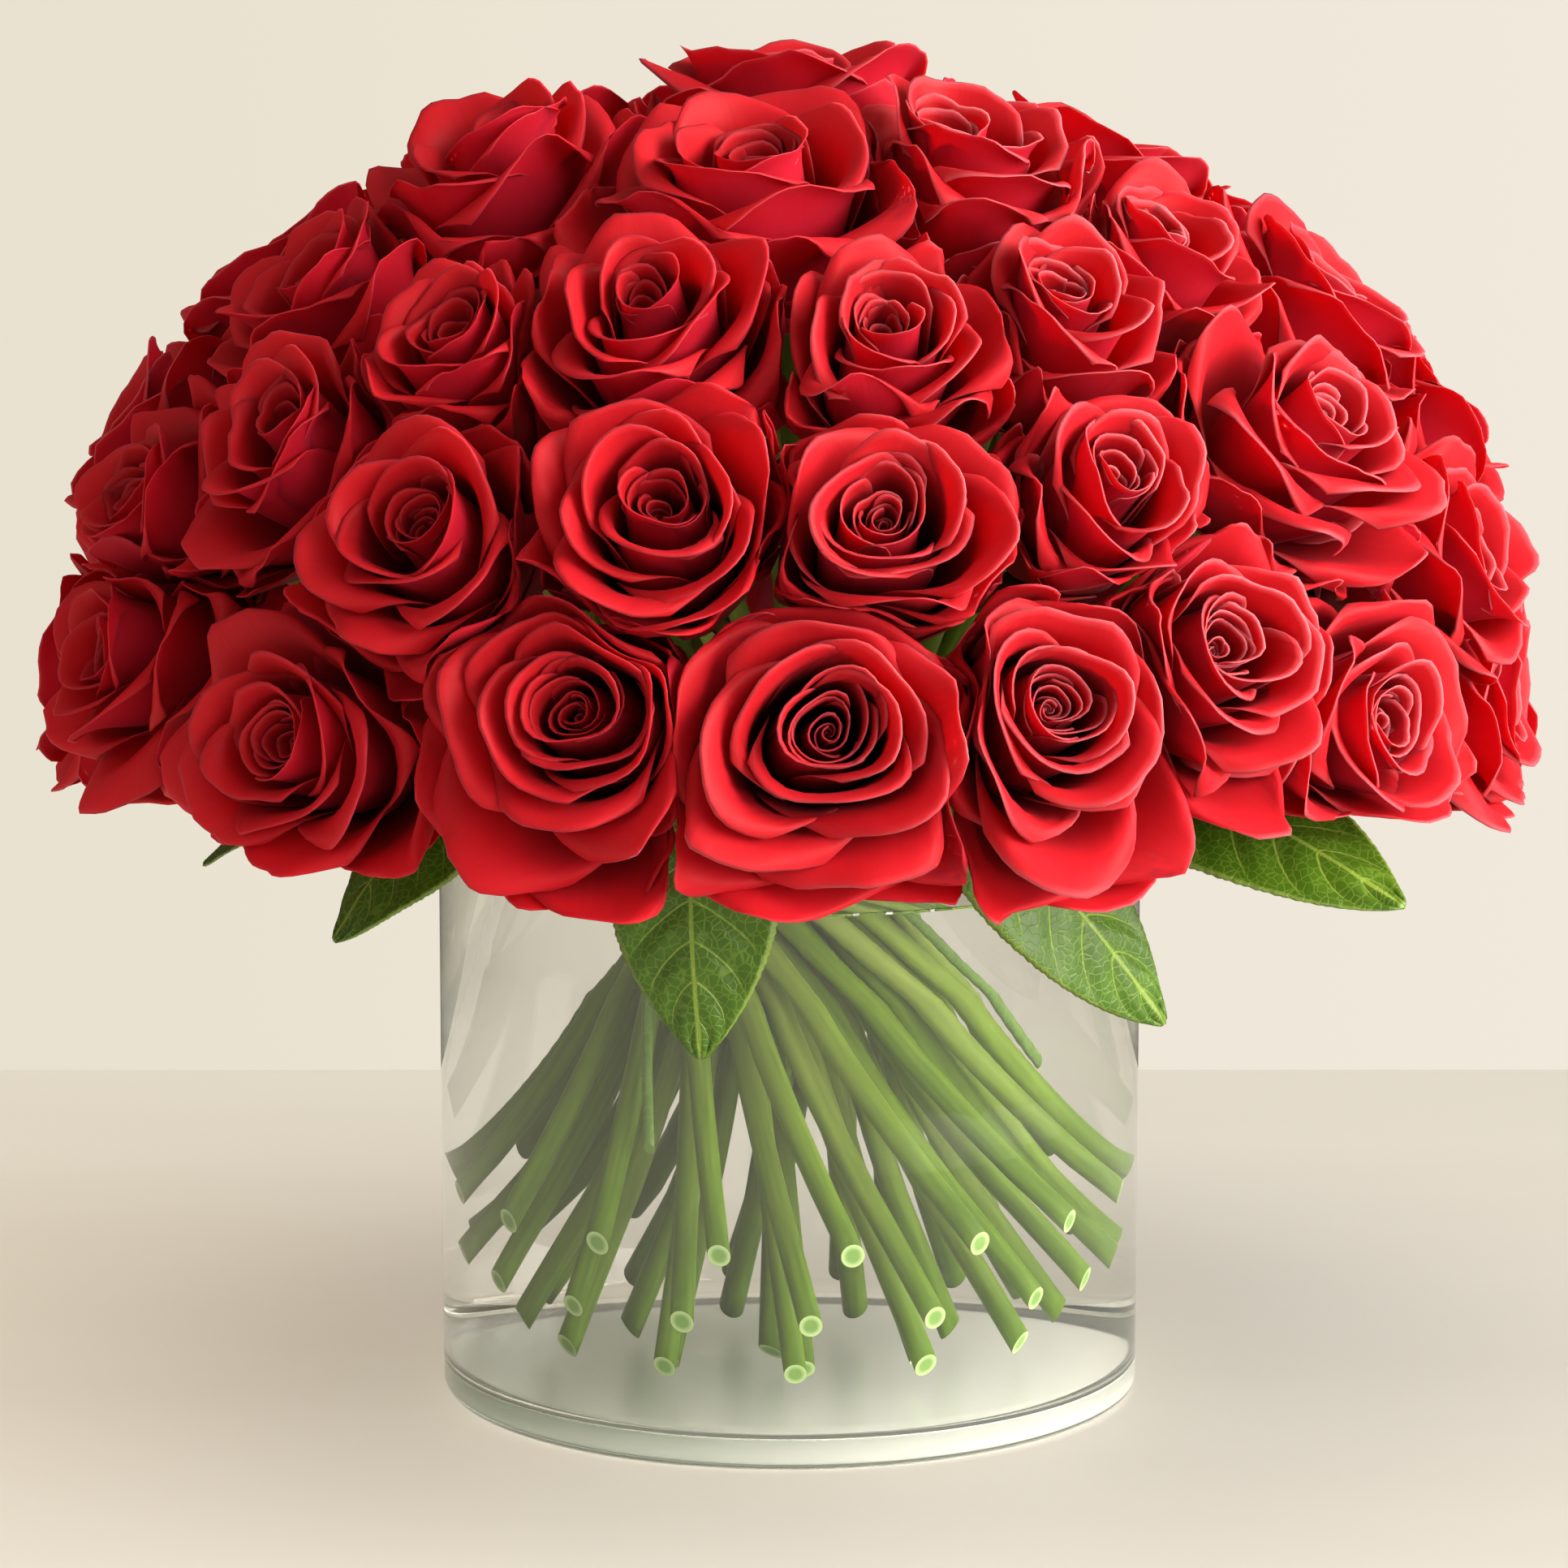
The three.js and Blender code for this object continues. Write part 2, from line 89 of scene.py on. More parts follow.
# Rings of blooms from the rim up, in degrees and mm. Each bloom is (azimuth, latitude on the dome,
# diameter). neck is how far from the axis the ring's stems pass the neck, and foot the radius and height
# where they end.
RINGS = (
    {
        "name": "rim", "passes_rim": True, "neck": 30, "foot": (87, 58),
        "blooms": (
            (-66, 5, 68), (-41, -2, 71), (-16, 3, 74), (2, 2, 86), (20, 3, 78), (34.5, 8, 72),
            (51, -1, 72), (76, -2, 74), (100, 2, 82), (124, -1, 78), (149, 3, 84), (173, 0, 78),
            (197, 4, 82), (221, 0, 80), (246, 3, 84), (270, -1, 78),
        ),
    },
    {
        "name": "lower", "passes_rim": True, "neck": 23.6, "foot": (84, 38),
        "blooms": (
            (-68, 20, 66), (-50, 28, 64), (-31, 20, 70), (-10.5, 23, 74), (7.5, 22, 70), (27, 25, 60),
            (52, 29, 72), (71, 14, 72), (90, 24, 74), (112, 21, 78), (137, 24, 80), (161, 21, 80),
            (185, 24, 80), (209, 22, 80), (233, 24, 80), (257, 21, 78), (275, 26, 70),
        ),
    },
    {
        "name": "upper", "passes_rim": False, "neck": 16.5, "foot": (69, 21),
        "blooms": (
            (-65, 45, 66), (-35, 40, 58), (-15, 44.5, 72), (10, 41.5, 62), (32, 45, 60), (54, 51, 62),
            (82, 42, 78), (113, 45, 84), (142, 43, 82), (172, 46, 84), (202, 43, 84), (233, 46, 84),
            (263, 44, 82),
        ),
    },
    {
        "name": "crest", "passes_rim": False, "neck": 7.6, "foot": (42, 16),
        "blooms": (
            (-64, 63, 78), (-6.5, 65, 86), (37, 66, 74), (92, 65, 86), (148, 65, 88), (202, 66, 88),
            (250, 65, 82),
        ),
    },
    {"name": "top", "passes_rim": False, "neck": 3.2, "foot": (8, 13), "blooms": ((170, 88, 92),)},
)

# Leafy twigs, in degrees and mm: the two rim stems that each stands between, and its leaves. A leaf's base
# and tip are (azimuth, radius, height), facing is how steeply its upper face looks up, and roll is how far
# it is turned round its midrib.
TWIGS = (
    {"between": (1, 2), "leaves": (
        {"base": (-14, 107, 193), "tip": (-12, 114, 118), "width": 46, "facing": 5},
        {"base": (-47, 108, 191), "tip": (-57, 148, 144), "width": 44, "facing": 35},
        {"base": (-76, 109, 192), "tip": (-92, 168, 150), "width": 46, "facing": 52},
    )},
    {"between": (4, 5), "leaves": (
        {"base": (22, 107, 193), "tip": (54, 127, 120), "width": 43, "facing": 12},
        {"base": (50, 112, 192), "tip": (52, 206, 162), "width": 48, "facing": 72, "roll": 26},
        {"base": (84, 108, 192), "tip": (96, 150, 138), "width": 44, "facing": 35},
    )},
    {"between": (11, 12), "leaves": (
        {"base": (148, 109, 192), "tip": (136, 170, 152), "width": 46, "facing": 55},
        {"base": (186, 107, 193), "tip": (190, 120, 120), "width": 45, "facing": 10},
        {"base": (222, 108, 192), "tip": (236, 156, 144), "width": 44, "facing": 42},
    )},
)


# ------------------------------------------------------------------ settings


def linear(colour):
    """An sRGB hex colour as linear RGBA."""
    shares = np.array([int(colour[i:i + 2], 16) for i in (1, 3, 5)]) / 255
    low, high = shares / 12.92, ((shares + 0.055) / 1.055) ** 2.4
    return (*np.where(shares <= 0.04045, low, high), 1.0)


def size_setting(name, description, default):
    """A setting for a size in metres."""
    return bpy.props.FloatProperty(name=name, description=description, default=default, unit="LENGTH")


def colour_setting(name, description, colour):
    """A setting for a colour, whose default is given as sRGB hex."""
    return bpy.props.FloatVectorProperty(
        name=name, description=description, default=linear(colour), subtype="COLOR", size=4
    )


class ROSES_PG_petals(bpy.types.PropertyGroup):
    """Sizes and colours of the petals"""

    count: bpy.props.IntProperty(
        name="Petals", description="Petals on a full-size head", default=37, min=12, max=40
    )
    thickness: size_setting("Thickness", "Thickness of a petal's blade", 0.4 * MM)
    wander: size_setting("Wander", "How far the borders between neighbouring heads wander", 4.5 * MM)
    # The heart's colour is partly the deeper red of the inner petals and partly painted shade of the deep
    # cup
    heart_colour_and_shade: colour_setting("Heart", "Colour of the petals in the heart", "#9c1018")
    open_colour: colour_setting("Open petals", "Colour of the open petals", "#dd1e2a")


class ROSES_PG_stems(bpy.types.PropertyGroup):
    """Sizes and colours of the stems"""

    radius: size_setting("Radius", "Radius of a rose stem", 3.25 * MM)
    twig_radius: size_setting("Twig radius", "Radius of a leafy twig", 1.5 * MM)
    dark_colour: colour_setting("Dark fibres", "Colour of the darkest fibres", "#2c4a00")
    light_colour: colour_setting("Light fibres", "Colour of the lightest fibres", "#8aab30")


class ROSES_PG_vase(bpy.types.PropertyGroup):
    """Sizes of the vase and its water"""

    radius: size_setting("Radius", "Outer radius of the glass", float(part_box("vase")[1].x))
    height: size_setting("Height", "Height of the glass", float(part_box("vase")[1].z))
    wall: size_setting("Wall", "Thickness of the glass", 4 * MM)
    base: size_setting("Base", "Thickness of the glass under the water", 8 * MM)
    level: size_setting("Water level", "Height of the water's surface", float(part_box("water")[1].z))


# ------------------------------------------------------------------ small helpers


def unit(vectors):
    """Vectors scaled to length 1."""
    return vectors / np.maximum(np.linalg.norm(vectors, axis=-1, keepdims=True), 1e-12)


def ease(x):
    """0 below 0, 1 above 1, and 3x^2 - 2x^3 between."""
    x = np.clip(x, 0, 1)
    return x * x * (3 - 2 * x)


def heading(azimuth):
    """The level direction at an azimuth in degrees: (sin a, -cos a, 0)."""
    angle = np.radians(azimuth)
    return np.stack([np.sin(angle), -np.cos(angle), np.zeros_like(angle)], -1)


def place(azimuth, radius, height):
    """The point at an azimuth in degrees, a radius and a height in mm, in metres."""
    return (heading(float(azimuth)) * radius + UP * height) * MM


def make_mesh(name, points, faces, **marks):
    """A smooth mesh object from points (n x 3) and quads (m x 4), whose last two corners are equal where
    it is a triangle. marks are numbers for each point, kept as attributes."""
    tri = faces[:, 2] == faces[:, 3]
    sizes = np.where(tri, 3, 4)
    keep = np.ones(faces.shape, bool)
    keep[tri, 3] = False
    mesh = bpy.data.meshes.new(name)
    mesh.vertices.add(len(points))
    mesh.vertices.foreach_set("co", points.astype(np.float32).ravel())
    mesh.loops.add(int(sizes.sum()))
    mesh.loops.foreach_set("vertex_index", faces[keep].astype(np.int32))
    mesh.polygons.add(len(faces))
    starts = np.concatenate([[0], np.cumsum(sizes)[:-1]])
    mesh.polygons.foreach_set("loop_start", starts.astype(np.int32))
    mesh.polygons.foreach_set("use_smooth", np.ones(len(faces), bool))
    mesh.update(calc_edges=True)
    for mark, values in marks.items():
        attribute = mesh.attributes.new(mark, "FLOAT", "POINT")
        attribute.data.foreach_set("value", np.broadcast_to(values, len(points)).astype(np.float32))
    mesh.validate()
    thing = bpy.data.objects.new(name, mesh)
    bpy.context.scene.collection.objects.link(thing)
    return thing


def closed_round(rows):
    """A closed round body from a grid of rows (r x c x 3), joined at its sides, whose first and last rows
    are single points. Returns its points and its faces, which look outwards."""
    count, columns = rows.shape[:2]
    points = np.concatenate([rows[0, :1], rows[1:-1].reshape(-1, 3), rows[-1, :1]])
    index = 1 + np.arange((count - 2) * columns).reshape(count - 2, columns)
    over = np.roll(index, -1, axis=1)
    walls = np.stack([index[:-1], over[:-1], over[1:], index[1:]], -1).reshape(-1, 4)
    first = np.zeros(columns, int)
    last = np.full(columns, len(points) - 1)
    start = np.stack([over[0], index[0], first, first], -1)
    end = np.stack([index[-1], over[-1], last, last], -1)
    faces = np.concatenate([start, walls, end])
    if signed_volume(points, faces) < 0:
        faces = faces[:, [1, 0, 3, 2]]
    return points, faces


def signed_volume(points, faces):
    """The volume inside faces that look outwards: the sum of a . (b x c) / 6 over the triangles."""
    a, b, c, d = (points[faces[:, i]] for i in range(4))
    return (np.einsum("ij,ij->", a, np.cross(b, c)) + np.einsum("ij,ij->", a, np.cross(c, d))) / 6


def closed_sheets(front, thickness):
    """Closed thin sheets from grids (n x rows x columns x 3): each point of the inner face lies thickness
    under the outer one along its normal, and the two faces share their margin. Returns the points and the
    faces."""
    along = np.gradient(front, axis=1)
    across = np.gradient(front, axis=2)
    normal = unit(np.cross(across, along))
    inner = (front - normal * thickness)[:, 1:-1, 1:-1]
    sheets, rows, columns = front.shape[:3]
    outer_index = np.arange(sheets * rows * columns).reshape(sheets, rows, columns)
    inner_index = outer_index.copy()
    inner_index[:, 1:-1, 1:-1] = outer_index.size + np.arange(inner[..., 0].size).reshape(inner.shape[:3])

    def quads(index):
        corners = (index[:, :-1, :-1], index[:, :-1, 1:], index[:, 1:, 1:], index[:, 1:, :-1])
        return np.stack(corners, -1).reshape(-1, 4)

    points = np.concatenate([front.reshape(-1, 3), inner.reshape(-1, 3)])
    faces = np.concatenate([quads(outer_index), quads(inner_index)[:, ::-1]])
    return points, faces


def both_faces(values):
    """A grid of values (n x rows x columns) for the points of closed_sheets."""
    return np.concatenate([values.ravel(), values[:, 1:-1, 1:-1].ravel()])


def on_outer_face(front):
    """1 for the points of closed_sheets on the face that it was given, and 0 for those of the other."""
    return np.concatenate([np.ones(front[..., 0].size), np.zeros(front[:, 1:-1, 1:-1, 0].size)])


def finish_piece(thing, material, slot, *nodes):
    """Gives a piece its material and its body, and hides the CAD nodes that it stands for; slot is not
    used.
    """
    thing.data.materials.append(material)
    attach(thing, "root")
    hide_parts(*nodes)


# ------------------------------------------------------------------ materials


def add(tree, kind, links=None, out=0, **settings):
    """Adds a node of a kind, such as Math, and returns one of its outputs. links gives its inputs, by name
    or number, a value or another node's output, and settings are its properties."""
    node = tree.nodes.new("ShaderNode" + kind)
    for name, value in settings.items():
        setattr(node, name, value)
    for name, value in (links or {}).items():
        if isinstance(value, bpy.types.NodeSocket):
            tree.links.new(value, node.inputs[name])
        else:
            node.inputs[name].default_value = value
    return node.outputs[out] if node.outputs else None


# Numbers of the sockets that take colours in a Mix node, and what makes it give one
SHARE, A, B = 0, 6, 7
OF_COLOURS = {"out": 2, "data_type": "RGBA"}


def new_material(name):
    """An empty node material and its tree."""
    material = bpy.data.materials.new(name)
    material.use_nodes = True
    material.node_tree.nodes.clear()
    return material, material.node_tree


def rose_petal(petals):
    """Fresh petal of a red rose: a velvety skin of domed cells, so a soft sheen at a grazing eye and no
    mirror gloss. Painted shade darkens it towards the claw, and in the heart its darker red is partly the
    deeper colour of the inner petals and partly painted shade of the cup; a painted highlight makes the
    rims paler, most on the right of the bunch. It is thin enough to let about a quarter of the light
    through, which warms the shade inside the cup."""
    material, tree = new_material("rose_petal")
    along, across, rim, pale, outer, tone, share = (
        add(tree, "Attribute", attribute_name=name, out="Fac")
        for name in ("along", "across", "rim", "pale", "outer", "tone", "share")
    )
    spot = add(tree, "CombineXYZ", {0: across, 1: along, 2: tone})
    # The fine streaks that run up a petal are about 1 mm apart, and it is 50 mm wide. Its clouds are about
    # 15 mm wide and 30 mm long.
    stretched = add(tree, "VectorMath", {0: spot, 1: (24, 3, 40)}, operation="MULTIPLY")
    streaks = add(tree, "TexNoise", {"Vector": stretched, "Scale": 1.0, "Detail": 4.0})
    spread = add(tree, "VectorMath", {0: spot, 1: (1.6, 1.8, 30)}, operation="MULTIPLY")
    clouds = add(tree, "TexNoise", {"Vector": spread, "Scale": 1.0, "Detail": 2.0})

    # Painted shade in part: the heart petals take a darker red, which also stands in for the shade deep in
    # the cup
    heart, open_petals = tuple(petals.heart_colour_and_shade), tuple(petals.open_colour)
    opened = add(tree, "Mix", {SHARE: share, A: heart, B: open_petals}, **OF_COLOURS)
    # Painted shade: the petals are drawn darker towards the claw, deep in the cup where little light
    # reaches, though their red is the same there
    lit = add(tree, "MapRange", {"Value": along, "From Min": 0.2, "From Max": 0.85})
    colour = add(tree, "Mix", {SHARE: lit, A: linear("#66060b"), B: opened}, **OF_COLOURS)
    cloudy = add(tree, "MapRange", {"Value": clouds, "From Min": 0.3, "From Max": 0.7, "To Max": 0.3})
    veined = add(tree, "Math", {0: streaks, 1: 0.25}, operation="MULTIPLY")
    turned_away = add(tree, "Math", {0: outer, 1: 0.35}, operation="MULTIPLY")
    # Painted highlight: the edge layer paints the rims pale pink, a little everywhere and much more on the
    # right of the bunch, towards the window lamps
    rim_highlight_share = add(tree, "Math", {0: pale, 1: 0.5, 2: 0.06}, operation="MULTIPLY_ADD")
    edge = add(tree, "Math", {0: rim, 1: rim_highlight_share}, operation="MULTIPLY")
    layers = ((cloudy, "#e42a35"), (veined, "#8c0a14"), (turned_away, "#b8183c"), (edge, "#f48b97"))
    for cover, tint in layers:
        colour = add(tree, "Mix", {SHARE: cover, A: colour, B: linear(tint)}, **OF_COLOURS)

    raised = add(tree, "Bump", {"Height": streaks, "Strength": 0.2, "Distance": 0.3 * MM})
    surface = add(tree, "BsdfPrincipled", {
        "Base Color": colour,
        "Roughness": 0.5,
        "IOR": 1.4,
        "Specular IOR Level": 0.18,
        "Sheen Weight": 0.08,
        "Sheen Roughness": 0.4,
        "Sheen Tint": linear("#ff6a78"),
        "Subsurface Weight": 0.5,
        "Subsurface Radius": (1.0, 0.16, 0.12),
        "Subsurface Scale": 3 * MM,
        "Normal": raised,
    })
    glowing = add(tree, "BsdfTranslucent", {"Color": colour, "Normal": raised})
    thin = add(tree, "MixShader", {0: 0.26, 1: surface, 2: glowing})
    add(tree, "OutputMaterial", {"Surface": thin})
    return material


def green_stem(stems):
    """Fresh rose stem: a wet green skin with fine lengthwise fibres, which shines little under water, and
    a cut end with a wet green pith in a paler ring."""
    material, tree = new_material("green_stem")
    length, turn, cut, tone = (
        add(tree, "Attribute", attribute_name=name, out="Fac") for name in ("length", "turn", "cut", "tone")
    )
    spot = add(tree, "CombineXYZ", {0: turn, 1: length, 2: tone})
    # Fibres about 2 mm apart round the stem, and blotches about 30 mm long
    drawn = add(tree, "VectorMath", {0: spot, 1: (6, 40, 30)}, operation="MULTIPLY")
    fibres = add(tree, "TexNoise", {"Vector": drawn, "Scale": 1.0, "Detail": 3.0})
    spread = add(tree, "VectorMath", {0: spot, 1: (1.5, 30, 40)}, operation="MULTIPLY")
    blotches = add(tree, "TexNoise", {"Vector": spread, "Scale": 1.0, "Detail": 3.0})
    dark, light = tuple(stems.dark_colour), tuple(stems.light_colour)
    skin = add(tree, "Mix", {SHARE: fibres, A: dark, B: light}, **OF_COLOURS)
    # The skin is greyer and paler from 110 mm up, and darker over the lowest 80 mm
    up = add(tree, "MapRange", {"Value": length, "From Max": 0.11, "To Max": 0.75})
    paler = add(tree, "Math", {0: tone, 1: up}, operation="MULTIPLY")
    darker = add(tree, "Math", {0: blotches, 1: 0.5}, operation="MULTIPLY")
    darker_below = add(tree, "MapRange", {"Value": length, "From Max": 0.08, "To Min": 0.55, "To Max": 0.0})
    for cover, tint in ((paler, "#aebd62"), (darker, "#4d6414"), (darker_below, "#254502")):
        skin = add(tree, "Mix", {SHARE: cover, A: skin, B: linear(tint)}, **OF_COLOURS)
    pith = add(tree, "MapRange", {"Value": cut, "From Min": 0.5, "From Max": 0.85})
    end = add(tree, "Mix", {SHARE: pith, A: linear("#6d9048"), B: linear("#a5bb80")}, **OF_COLOURS)
    on_end = add(tree, "Math", {0: cut, 1: 0.985}, operation="LESS_THAN")
    colour = add(tree, "Mix", {SHARE: on_end, A: skin, B: end}, **OF_COLOURS)
    raised = add(tree, "Bump", {"Height": fibres, "Strength": 0.3, "Distance": 0.3 * MM})
    surface = add(tree, "BsdfPrincipled", {
        "Base Color": colour,
        "Roughness": 0.42,
        "IOR": 1.45,
        "Specular IOR Level": 0.1,
        "Normal": raised,
    })
    add(tree, "OutputMaterial", {"Surface": surface})
    return material


def fresh_leaf():
    """Fresh leaf: a waxed upper face with sunk, paler veins and a net of fine ones, and a duller and paler
    under face."""
    material, tree = new_material("fresh_leaf")
    run, reach, under, edge, along, across = (
        add(tree, "Attribute", attribute_name=name, out="Fac")
        for name in ("run", "reach", "under", "edge", "along", "across")
    )
    spot = add(tree, "CombineXYZ", {0: across, 1: along})
    # The midrib is about 1 mm wide, and a side vein runs wherever run is a whole number. It fades outwards.
    to_midrib = add(tree, "Math", {0: across}, operation="ABSOLUTE")
    to_side = add(tree, "Math", {0: run, 1: 0.5}, operation="PINGPONG")
    ranges = (
        (to_midrib, 0.35, 0.8, 1.0, 0.0),
        (to_side, 0.012, 0.055, 0.9, 0.0),
        (reach, 0.55, 0.92, 1.0, 0.1),
    )
    names = ("Value", "From Min", "From Max", "To Min", "To Max")
    midrib, side, fading = (add(tree, "MapRange", dict(zip(names, values))) for values in ranges)
    faded = add(tree, "Math", {0: side, 1: fading}, operation="MULTIPLY")
    vein = add(tree, "Math", {0: midrib, 1: faded}, operation="MAXIMUM")
    # Along and across are in mm, the meshes of the finest veins are about 2.4 mm wide, and the lighter and
    # darker patches about 11 mm
    net = add(tree, "TexVoronoi", {"Vector": spot, "Scale": 0.42}, feature="DISTANCE_TO_EDGE")
    line = add(tree, "MapRange", {"Value": net, "From Max": 0.1, "To Min": 1.0, "To Max": 0.0})
    patches = add(tree, "TexNoise", {"Vector": spot, "Scale": 0.09, "Detail": 3.0})
    colour = add(tree, "Mix", {SHARE: patches, A: linear("#284605"), B: linear("#4a6e12")}, **OF_COLOURS)
    # The net, the veins, the edge and the under face cover the blade by these shares
    layers = (
        (line, 0.22, "#8fac48"), (vein, 0.42, "#9fb84c"), (edge, 0.6, "#9aa83c"), (under, 0.6, "#7c9a52"),
    )
    for where, share, tint in layers:
        cover = add(tree, "Math", {0: where, 1: share}, operation="MULTIPLY")
        colour = add(tree, "Mix", {SHARE: cover, A: colour, B: linear(tint)}, **OF_COLOURS)
    sunk = add(tree, "Math", {0: line, 1: -0.35}, operation="MULTIPLY")
    relief = add(tree, "Math", {0: sunk, 1: vein}, operation="SUBTRACT")
    raised = add(tree, "Bump", {"Height": relief, "Strength": 0.5, "Distance": 0.4 * MM})
    surface = add(tree, "BsdfPrincipled", {
        "Base Color": colour,
        "Roughness": 0.4,
        "IOR": 1.45,
        "Specular IOR Level": 0.4,
        "Normal": raised,
    })
    add(tree, "OutputMaterial", {"Surface": surface})
    return material


def straight_on(tree):
    """1 for light that glass or water lets straight through: the lamps' light, and light that it has
    turned more than seven times, which would otherwise be trapped in the wall and lost."""
    shadow = add(tree, "LightPath", out="Is Shadow Ray")
    turns = add(tree, "LightPath", out="Ray Depth")
    trapped = add(tree, "Math", {0: turns, 1: 7.5}, operation="GREATER_THAN")
    return add(tree, "Math", {0: shadow, 1: trapped}, operation="MAXIMUM")


def clear_glass():
    """Clear soda-lime glass, blown and polished, so it mirrors and bends without haze; its floor is less
    smooth than its walls, so that the stems are hardly mirrored in it."""
    material, tree = new_material("clear_soda_lime_glass")
    uneven = add(tree, "Attribute", attribute_name="uneven", out="Fac")
    rough = add(tree, "Math", {0: uneven, 1: 0.22}, operation="MULTIPLY")
    body = add(tree, "BsdfPrincipled", {
        "Base Color": linear("#fdfefd"),
        "Roughness": rough,
        "IOR": 1.5,
        "Transmission Weight": 1.0,
    })
    open_way = add(tree, "BsdfTransparent", {"Color": linear("#fdfefd")})
    mixed = add(tree, "MixShader", {0: straight_on(tree), 1: body, 2: open_way})
    # Through 200 mm of the base four fifths of the light are left, and through a wall nearly all
    taken = add(tree, "VolumeAbsorption", {"Color": linear("#e4ece6"), "Density": 5.0})
    add(tree, "OutputMaterial", {"Surface": mixed, "Volume": taken})
    return material


def clear_water():
    """Clean tap water: it bends light less than glass does, and hardly colours it. It is set to bend less
    than its true 1.333, because the stems look straight through it."""
    material, tree = new_material("clear_water")
    body = add(tree, "BsdfPrincipled", {
        "Base Color": linear("#fefefd"),
        "Roughness": 0.0,
        "IOR": 1.12,
        "Specular IOR Level": 0.1,
        "Transmission Weight": 1.0,
    })
    open_way = add(tree, "BsdfTransparent", {"Color": linear("#fefefd")})
    mixed = add(tree, "MixShader", {0: straight_on(tree), 1: body, 2: open_way})
    add(tree, "OutputMaterial", {"Surface": mixed})
    return material


def brushed_paint(name, dark, light):
    """Matt off-white paint between two colours, brushed by hand in soft strokes from side to side, so
    that it clouds a little, in clouds about 500 mm long and 110 mm wide."""
    material, tree = new_material(name)
    where = add(tree, "TexCoord", out="Object")
    drawn = add(tree, "VectorMath", {0: where, 1: (2.0, 9.0, 1.0)}, operation="MULTIPLY")
    clouds = add(tree, "TexNoise", {"Vector": drawn, "Scale": 1.0, "Detail": 3.0})
    colour = add(tree, "Mix", {SHARE: clouds, A: linear(dark), B: linear(light)}, **OF_COLOURS)
    surface = add(tree, "BsdfPrincipled", {"Base Color": colour, "Roughness": 0.6})
    add(tree, "OutputMaterial", {"Surface": surface})
    return material


# ------------------------------------------------------------------ where the blooms and stems are


def bloom_seat(azimuth, latitude, diameter):
    """A bloom's middle on the dome, the way it looks, the heart that its borders are set from and the
    seat of its stem. The crown is (208 cos l, 216 + 159 sin l) mm, and the axis tilts 12 + 0.87 l up."""
    lift = math.radians(latitude)
    tilt = math.radians(BLOOM["tilt"] + BLOOM["tilt_per_degree"] * latitude)
    out = heading(float(azimuth))
    crown = out * DOME["radius"] * math.cos(lift) + UP * (DOME["middle"] + DOME["rise"] * math.sin(lift))
    axis = out * math.cos(tilt) + UP * math.sin(tilt)
    side = unit(np.cross(axis, UP))
    return {
        "azimuth": azimuth,
        "latitude": latitude,
        "reach": diameter / 2,
        "axis": axis,
        "side": side,
        "rise": np.cross(axis, side),
        "heart": crown - axis * BLOOM["to_heart"],
        "seat": crown - axis * BLOOM["depth"],
        "push": 0,
        "hem": 0,
        "size": 1,
    }


SEATS = [[bloom_seat(*bloom) for bloom in ring["blooms"]] for ring in RINGS]
ALL_SEATS = [seat for ring in SEATS for seat in ring]
RING_NAMES = [ring["name"] for ring in RINGS]


def share_at_radius(a, b, radius):
    """How far along the straight line from a to b it first lies radius from the vase's axis."""
    run, start = (b - a)[:2], a[:2]
    half = start @ run / (run @ run)
    return -half + math.sqrt(half * half - (start @ start - radius * radius) / (run @ run))


def stem_corners(seat, ring, index):
    """The corners of a stem's way: its foot, the bend over the water, the rim where it leans that far,
    and its bloom's seat, in mm."""
    foot_radius, foot_height = ring["foot"]
    turn = ring["blooms"][0][0] + 90 + index * 360 / len(ring["blooms"])
    neck = heading(float(turn)) * (ring["neck"] - (STEM["press"] if index == 0 else 0)) + UP * STEM["neck"]
    away = 2 * neck - seat["seat"]
    start = neck + (away - neck) * share_at_radius(neck, away, foot_radius)
    start[2] = foot_height
    bend = start + (neck - start) * (STEM["bend"] - foot_height) / (STEM["neck"] - foot_height)
    corners = [start, bend]
    if ring["passes_rim"]:
        rim = neck + (seat["seat"] - neck) * share_at_radius(neck, seat["seat"], STEM["rim_radius"])
        rim[2] = max(rim[2], STEM["rim_height"])
        corners.append(rim)
    return np.array([*corners, seat["seat"]])


STEM_WAYS = [
    [stem_corners(seat, ring, index) for index, seat in enumerate(SEATS[level])]
    for level, ring in enumerate(RINGS)
]


def twig_corners(between):
    """The corners of a twig's way in mm: outside two rim stems, midway between them, and over the rim."""
    pair = [STEM_WAYS[0][index] for index in between]

    def stems_at(height):
        return [way[0] + (way[1] - way[0]) * (height - way[0][2]) / (way[1][2] - way[0][2]) for way in pair]

    def midway(points, radius, height):
        middle = (points[0] + points[1]) * [1, 1, 0]
        return unit(middle) * radius + UP * height

    def beside(height):
        points = stems_at(height)
        return midway(points, math.hypot(*points[0][:2]) + TWIG["bulge"], height)

    passes = [way[2] for way in pair]
    return np.array([
        beside(TWIG["foot"]),
        midway(stems_at(STEM["neck"]), TWIG["neck"], STEM["neck"]),
        beside(STEM["bend"]),
        midway(passes, *TWIG["over_rim"]),
        midway(passes, *TWIG["outside"]),
    ])


# ------------------------------------------------------------------ petals

